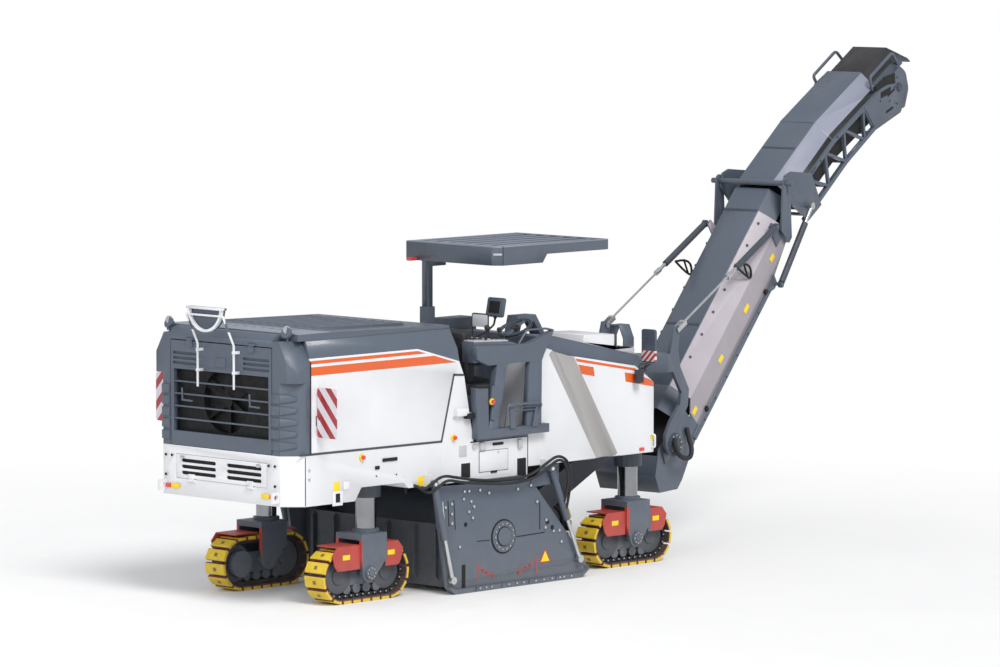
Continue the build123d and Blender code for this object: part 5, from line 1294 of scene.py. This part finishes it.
class PLANER_OT_side_plates(bpy.types.Operator):
    """Adds the bearing cover, bolts, signs and seams of both side plates"""
    bl_idname = "planer.side_plates"
    bl_label = "Side plates"

    def execute(self, context):
        x0, z0 = DRUM_CENTRE
        for name, side in SIDES:
            body = "side_plate_" + name
            low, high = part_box(body)
            face = side * PLATE_OUT
            skin = side * max(abs(low.y), abs(high.y))
            out = Vector((0, side, 0))
            hub = at(x0, face, z0)
            # the black ring round the bearing cover is painted shade in the cover's shallow recess
            group(f"bearing_shade_ring_{name}", [disc(hub + out * 0.002, 0.178, 0.006, sides=48)], "gap_black", body)
            cover = [disc(hub + out * 0.008, 0.163, 0.014, bevel=0.004, sides=48),
                     disc(hub + out * 0.020, 0.094, 0.014, bevel=0.004, sides=36)]
            group(f"bearing_cover_{name}", cover, "slate_paint", body)
            group(f"bearing_groove_{name}", [disc(hub + out * 0.0155, 0.104, 0.003, sides=36)], "gap_black",
                  body)
            bolts = [bolt(at(x, face, z) + out * 0.006, radius=0.016) for x, z in PLATE_BOLTS + EDGE_BOLTS]
            bolts += [bolt(at(x, skin, 0.034) + out * 0.004, radius=0.012) for x in SKID_BOLTS]
            for reach, count, size in ((0.133, 14, 0.009), (0.070, 6, 0.008)):
                bolts += bolt_ring(hub + out * 0.020, reach, count, size)
            group(f"plate_bolts_{name}", bolts, "steel", body)
            flange = [sheet_plate([(0.15, 1.00), (0.15, 1.07), (0.347, 1.20), (0.558, 1.208), (0.559, 1.019)],
                                  side * 0.012, "Y", face + side * 0.002, 0.003)]
            group(f"plate_flange_{name}", flange, "slate_paint", body, SHIFT)
            seams = [stroke(0.285, 0.553, 0.285, 0.833, 0.008, face, side * 0.005),
                     stroke(-0.638, 0.513, -0.455, 0.508, 0.006, face, side * 0.004),
                     stroke(-0.060, 0.508, 0.361, 0.518, 0.008, face, side * 0.004),
                     stroke(-0.835, 0.055, -0.835, 0.290, 0.050, face, side * 0.004),
                     stroke(-1.045, 0.70, -1.060, 0.965, 0.010, face, side * 0.004),
                     stroke(-0.955, 0.66, -0.975, 0.965, 0.008, face, side * 0.004)]
            seams += [stroke(x, 0.010, x + 0.012, 0.056, 0.008, skin, side * 0.002) for x in SKID_JOINTS]
            group(f"plate_seams_{name}", seams, "gap_black", body, SHIFT)
            dots = [disc(at(x, face, z) + out * 0.003, 0.022, 0.008, sides=20) for x,
                    z in ((0.376, 1.069), (-0.806, 0.70), (0.40, 0.62), (0.47, 0.56))]
            group(f"plate_holes_{name}", dots, "gap_black", body)
            signs = [stroke(*ends, face + side * 0.0005, side * 0.002) for ends in SIGN_STROKES]
            signs.append(sheet_plate([(0.275, 0.200), (0.452, 0.200), (0.364, 0.352)], side * 0.0015, "Y",
                                     face + side * 0.0005))
            group(f"plate_signs_{name}", signs, "guard_red", body, SHIFT)
            mark = sheet_plate([(0.300, 0.214), (0.427, 0.214), (0.364, 0.324)], side * 0.0015, "Y",
                               face + side * 0.002)
            group(f"plate_mark_{name}", [mark], "label_yellow", body, SHIFT)
            rod = [pipe([at(-1.125, face, 0.62) + out * 0.02, at(-1.165, face, 0.967) + out * 0.02], 0.014, 0)]
            group(f"guide_rod_{name}", rod, "steel", body)
        return {"FINISHED"}


def measured(points):
    """Length of the smooth line that these control points give."""
    piece = smooth_line(points)
    flat = bpy.data.meshes.new_from_object(piece)
    ends = [[flat.vertices[index].co for index in edge.vertices] for edge in flat.edges]
    total = sum((first - second).length for first, second in ends)
    bpy.data.meshes.remove(flat)
    bpy.data.objects.remove(piece)
    return total


def hose(name, points, radius, body):
    """Free hose along control points."""
    length = measured(points)
    piece = smooth_line(points, radius=radius)
    piece.name = name
    piece.data.name = name
    piece.data.materials.append(finish("rubber"))
    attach(piece, body)
    2 * radius
    deselect()
    return piece


class PLANER_OT_hoses(bpy.types.Operator):
    """Lays the hydraulic hoses over the right side plate"""
    bl_idname = "planer.hoses"
    bl_label = "Hoses"

    def execute(self, context):
        for name, points in HOSE_RUNS:
            route_points = [tuple(at(x, RIGHT * (1.150 + offset), z)) for x, offset, z in points]
            hose("hose_" + name, route_points, sizes().hose, "chassis")
        hose("hose_foot", [LOWER @ Vector(point) for point in FOOT_LOOP], 0.026, "conveyor_lower")
        cover, studs = [], []
        for side in (RIGHT, LEFT):
            cover += [disc((0, side * 0.499, 0), 0.120, 0.012, bevel=0.004, sides=40),
                      disc((0, side * 0.506, 0), 0.050, 0.014, bevel=0.004, sides=28)]
            studs += bolt_ring((0, side * 0.507, 0), 0.096, 10, 0.010)
        group("pivot_covers", cover, "dark_slate_paint", "swivel", LOWER)
        group("pivot_studs", studs, "steel", "swivel", LOWER)
        return {"FINISHED"}


# ---- tracks
HUB_Z = 0.295
CHAIN_DEPTH = 0.072     # chain pins under the shoes' faces
CHAIN_ASIDE = 0.078     # chain links and guards from the middle of a track
GUARD_ASIDE = 0.163
COLUMN_MIDDLE, COLUMN_SHOWN = 0.885, 0.31      # height of the bright tube's middle, and its length
COLUMN_RADIUS = 0.105
COLUMN_LEAD = {"rear": 0.129, "front": 0.061}      # how far each column stands ahead of its hub


class PLANER_OT_tracks(bpy.types.Operator):
    """Adds the hub caps, bolts, chain links and label plates of the track units"""
    bl_idname = "planer.tracks"
    bl_label = "Track details"

    def execute(self, context):
        for name in UNITS:
            low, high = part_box("track_" + name)
            side = LEFT if "left" in name else RIGHT
            body = "crawler_" + name
            unit_low, unit_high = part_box("undercarriage_" + name)
            outer = side * max(abs(unit_low.y), abs(unit_high.y))
            out = Vector((0, side, 0))
            middle = (low + high) / 2
            hub = Vector((middle.x, outer, HUB_Z))
            cap = [disc(hub + out * 0.006, 0.066, 0.016, bevel=0.005, sides=28),
                   disc(hub + out * 0.016, 0.034, 0.016, bevel=0.004, sides=20)]
            group(f"hub_cap_{name}", cap, "slate_paint", body)
            group(f"hub_bolts_{name}", bolt_ring(hub + out * 0.016, 0.052, 8, 0.008), "steel", body)
            lead = middle.x + COLUMN_LEAD[name.split("_")[0]]
            tube = disc((lead, middle.y, COLUMN_MIDDLE), COLUMN_RADIUS + 0.0015, COLUMN_SHOWN, "Z", 0.0, 48)
            group(f"column_{name}", [tube], "column_steel", body)
            guard_y = side * (abs(middle.y) + GUARD_ASIDE)
            labels = [block((low.x + 0.30, guard_y, 0.475), (0.10, 0.006, 0.05), 0.002),
                      block((high.x - 0.28, guard_y, 0.475), (0.10, 0.006, 0.05), 0.002)]
            group(f"guard_labels_{name}", labels, "label_yellow", body)
            reach = (high.z - low.z) / 2
            straight = (high.x - low.x) / 2 - reach
            face = middle.y + side * CHAIN_ASIDE
            links, pins = [], []
            spots = [((middle.x - straight + 2 * straight * number / 8, face, low.z + CHAIN_DEPTH), 0)
                     for number in range(9)]
            spots += [((x, y, high.z - CHAIN_DEPTH), 0) for (x, y, z), turn in spots]
            radius = reach - CHAIN_DEPTH
            for end in (-1, 1):
                for number in range(1, 8):
                    angle = math.radians(-90 + 22.5 * number)
                    spots.append(((middle.x + end * (straight + radius * math.cos(angle)), face,
                                   middle.z + radius * math.sin(angle)), -(angle + math.pi / 2) * end))
            for spot, turn in spots:
                links.append(block(spot, (0.066, 0.012, 0.036), 0.006, (0, turn, 0)))
                pins.append(disc(Vector(spot) + out * 0.006, 0.011, 0.012, bevel=0.003, sides=12))
            group(f"chain_links_{name}", links, "gap_black", body)
            group(f"chain_pins_{name}", pins, "steel", body)
            rings = []
            for end in (-1, 1):
                for aside, size, depth, sides in ((0.060, reach - 0.098, 0.016, 40), (0.070, 0.085, 0.022, 28)):
                    centre = (middle.x + end * straight, middle.y + side * aside, middle.z)
                    rings.append(disc(centre, size, depth, bevel=0.006, sides=sides))
            group(f"idler_rings_{name}", rings, "dark_slate_paint", body)
        return {"FINISHED"}


# ---- conveyor
COVER_LEAN = math.atan2(0.22, 0.175)      # angle of the lower cover's leaning sides
# outlines on the head's side plates, along and square to the upper section
HEAD_OPENING = ((2.060, -0.290), (2.270, -0.325), (2.470, -0.425), (2.410, -0.530), (2.270, -0.440),
                (2.085, -0.365))
HEAD_WINDOW = ((2.115, -0.425), (2.310, -0.500), (2.270, -0.560), (2.075, -0.480))
HEAD_RING = ((2.58, -0.42), (2.64, -0.56), (2.58, -0.74), (2.40, -0.86))


class PLANER_OT_conveyor(bpy.types.Operator):
    """Adds the bolts, labels, seams, brackets and guard rails of the discharge conveyor"""
    bl_idname = "planer.conveyor"
    bl_label = "Conveyor fittings"

    def execute(self, context):
        bolts, labels, dark, heads, rails = [], [], [], [], []
        for side in (LEFT, RIGHT):
            bolts += [bolt((0.60 + 0.30 * number, side * 0.422, -0.345), radius=0.010) for number in range(7)]
            for number in range(8):
                stud = disc((0.74 + 0.315 * number, side * 0.2735, 0.170), 0.015, 0.012, "Z", 0.003, 16)
                stud.rotation_euler = (-side * COVER_LEAN, 0, 0)
                bolts.append(stud)
            labels += [block((u, side * 0.403, -0.150), (width, 0.004, 0.058), 0.001)
                       for u, width in ((0.57, 0.10), (1.29, 0.10), (2.00, 0.11), (2.72, 0.09))]
            dark += [block((u, side * 0.412, -0.30), (0.045, 0.030, 0.05), 0.006) for u in (2.36, 0.72)]
            corners = [(2.215, 0.345), (2.420, 0.165), (2.300, -0.025), (2.240, 0.16)]
            dark.append(pipe([(u, side * 0.400, v) for u, v in corners + corners[:1]], 0.013, 0))
            dark.append(pipe([(2.33, side * 0.400, 0.24), (2.27, side * 0.400, 0.06)], 0.011, 0))
            heads += [bolt((0.30 + 0.42 * number, side * 0.412, -0.274), radius=0.011) for number in range(3)]
            heads += [bolt((s, side * 0.414, t), radius=0.011)
                      for s, t in ((2.05, -0.50), (2.20, -0.62), (2.38, -0.56), (2.48, -0.50), (2.30, -0.74))]
            heads.append(disc((2.45, side * 0.418, -0.62), 0.05, 0.02, bevel=0.005))
            rails.append(pipe([(2.05, side * 0.36, -0.34), (2.07, side * 0.385, -0.175),
                               (2.60, side * 0.385, -0.235),
                               (2.63, side * 0.36, -0.43)], 0.018, 0.05))
        ribs = [block((u, 0, 0.2215), (0.030, 0.44, 0.006), 0.002) for u in (1.46, 3.085)]
        group("conveyor_bolts", bolts, "dark_slate_paint", "conveyor_lower", LOWER)
        group("conveyor_labels", labels, "label_yellow", "conveyor_lower", LOWER)
        group("cover_ribs", ribs, "dark_slate_paint", "conveyor_lower", LOWER)
        group("conveyor_brackets", dark, "gap_black", "conveyor_lower", LOWER)
        for name, start, end in (("hinge_cover", 3.086, 3.400), ("foot_cover", 0.30, 0.622)):
            outer = [(-0.370, 0.036), (-0.226, 0.2195), (0.226, 0.2195), (0.370, 0.036)]
            inner = [(y * 0.975, v - 0.007) for y, v in reversed(outer)]
            group(name, [sheet_plate(outer + inner, end - start, "X", start)], "slate_paint", "conveyor_lower",
                  LOWER)
        seams = [block((0.62, 0, -0.019), (0.030, 0.44, 0.006), 0.002)]
        seams += [block((0.45, side * 0.413, -0.268), (0.30, 0.010, 0.014), 0.002) for side in (LEFT, RIGHT)]
        group("upper_cover_ribs", seams, "dark_slate_paint", "conveyor_upper", UPPER)
        group("upper_bolts", heads, "dark_slate_paint", "conveyor_upper", UPPER)
        slots = [block((s, side * 0.4125, t), (0.16, 0.006, 0.026), 0.003, (0, turn, 0)) for side in (LEFT,
                                                                                                      RIGHT)
                 for s, t, turn in ((2.28, -0.56, 0.15), (2.14, -0.70, 0.30))]
        for side in (LEFT, RIGHT):
            for shape in (HEAD_OPENING, HEAD_WINDOW):
                slots.append(sheet_plate(shape, side * 0.004, "Y", side * 0.4105))
        group("head_slots", slots, "gap_black", "conveyor_upper", UPPER)
        rings = [pipe([(s, side * 0.395, t) for s, t in HEAD_RING], 0.022, 0.04) for side in (LEFT, RIGHT)]
        rings.append(pipe([(2.40, side, -0.86) for side in (-0.395, 0.395)], 0.020, 0))
        group("head_rings", rings, "slate_paint", "conveyor_upper", UPPER)
        group("head_rails", rails, "slate_paint", "conveyor_upper", UPPER)
        return {"FINISHED"}


OPERATORS = (PLANER_OT_stage, PLANER_OT_paint, PLANER_OT_body_fittings, PLANER_OT_rear_fittings,
             PLANER_OT_seats,
             PLANER_OT_console, PLANER_OT_rails, PLANER_OT_side_plates, PLANER_OT_hoses, PLANER_OT_tracks,
             PLANER_OT_conveyor)


# ---- panel
class PLANER_PT_panel(bpy.types.Panel):
    """Buttons that dress the machine"""
    bl_label = "Planer"
    bl_idname = "PLANER_PT_panel"
    bl_space_type = "VIEW_3D"
    bl_region_type = "UI"
    bl_category = "Planer"

    def draw(self, context):
        for group_name in ("planer_colours", "planer_sizes", "planer_stage"):
            group_set = getattr(context.scene, group_name)
            column = self.layout.column()
            for key in group_set.bl_rna.properties.keys():
                if key not in ("rna_type", "name"):
                    column.prop(group_set, key)
        for operator in OPERATORS:
            self.layout.operator(operator.bl_idname)


GROUPS = (("planer_colours", PaintColours), ("planer_sizes", FittingSizes), ("planer_stage", StageSettings))


def register():
    for name, kind in GROUPS:
        bpy.utils.register_class(kind)
        setattr(bpy.types.Scene, name, PointerProperty(type=kind))
    for kind in (*OPERATORS, PLANER_PT_panel):
        bpy.utils.register_class(kind)


def unregister():
    for kind in (PLANER_PT_panel, *reversed(OPERATORS)):
        bpy.utils.unregister_class(kind)
    for name, kind in reversed(GROUPS):
        delattr(bpy.types.Scene, name)
        bpy.utils.unregister_class(kind)


def main():
    register()
    for operator in OPERATORS:
        group_name, call = operator.bl_idname.split(".")
        getattr(getattr(bpy.ops, group_name), call)()


if __name__ == "__main__":
    main()
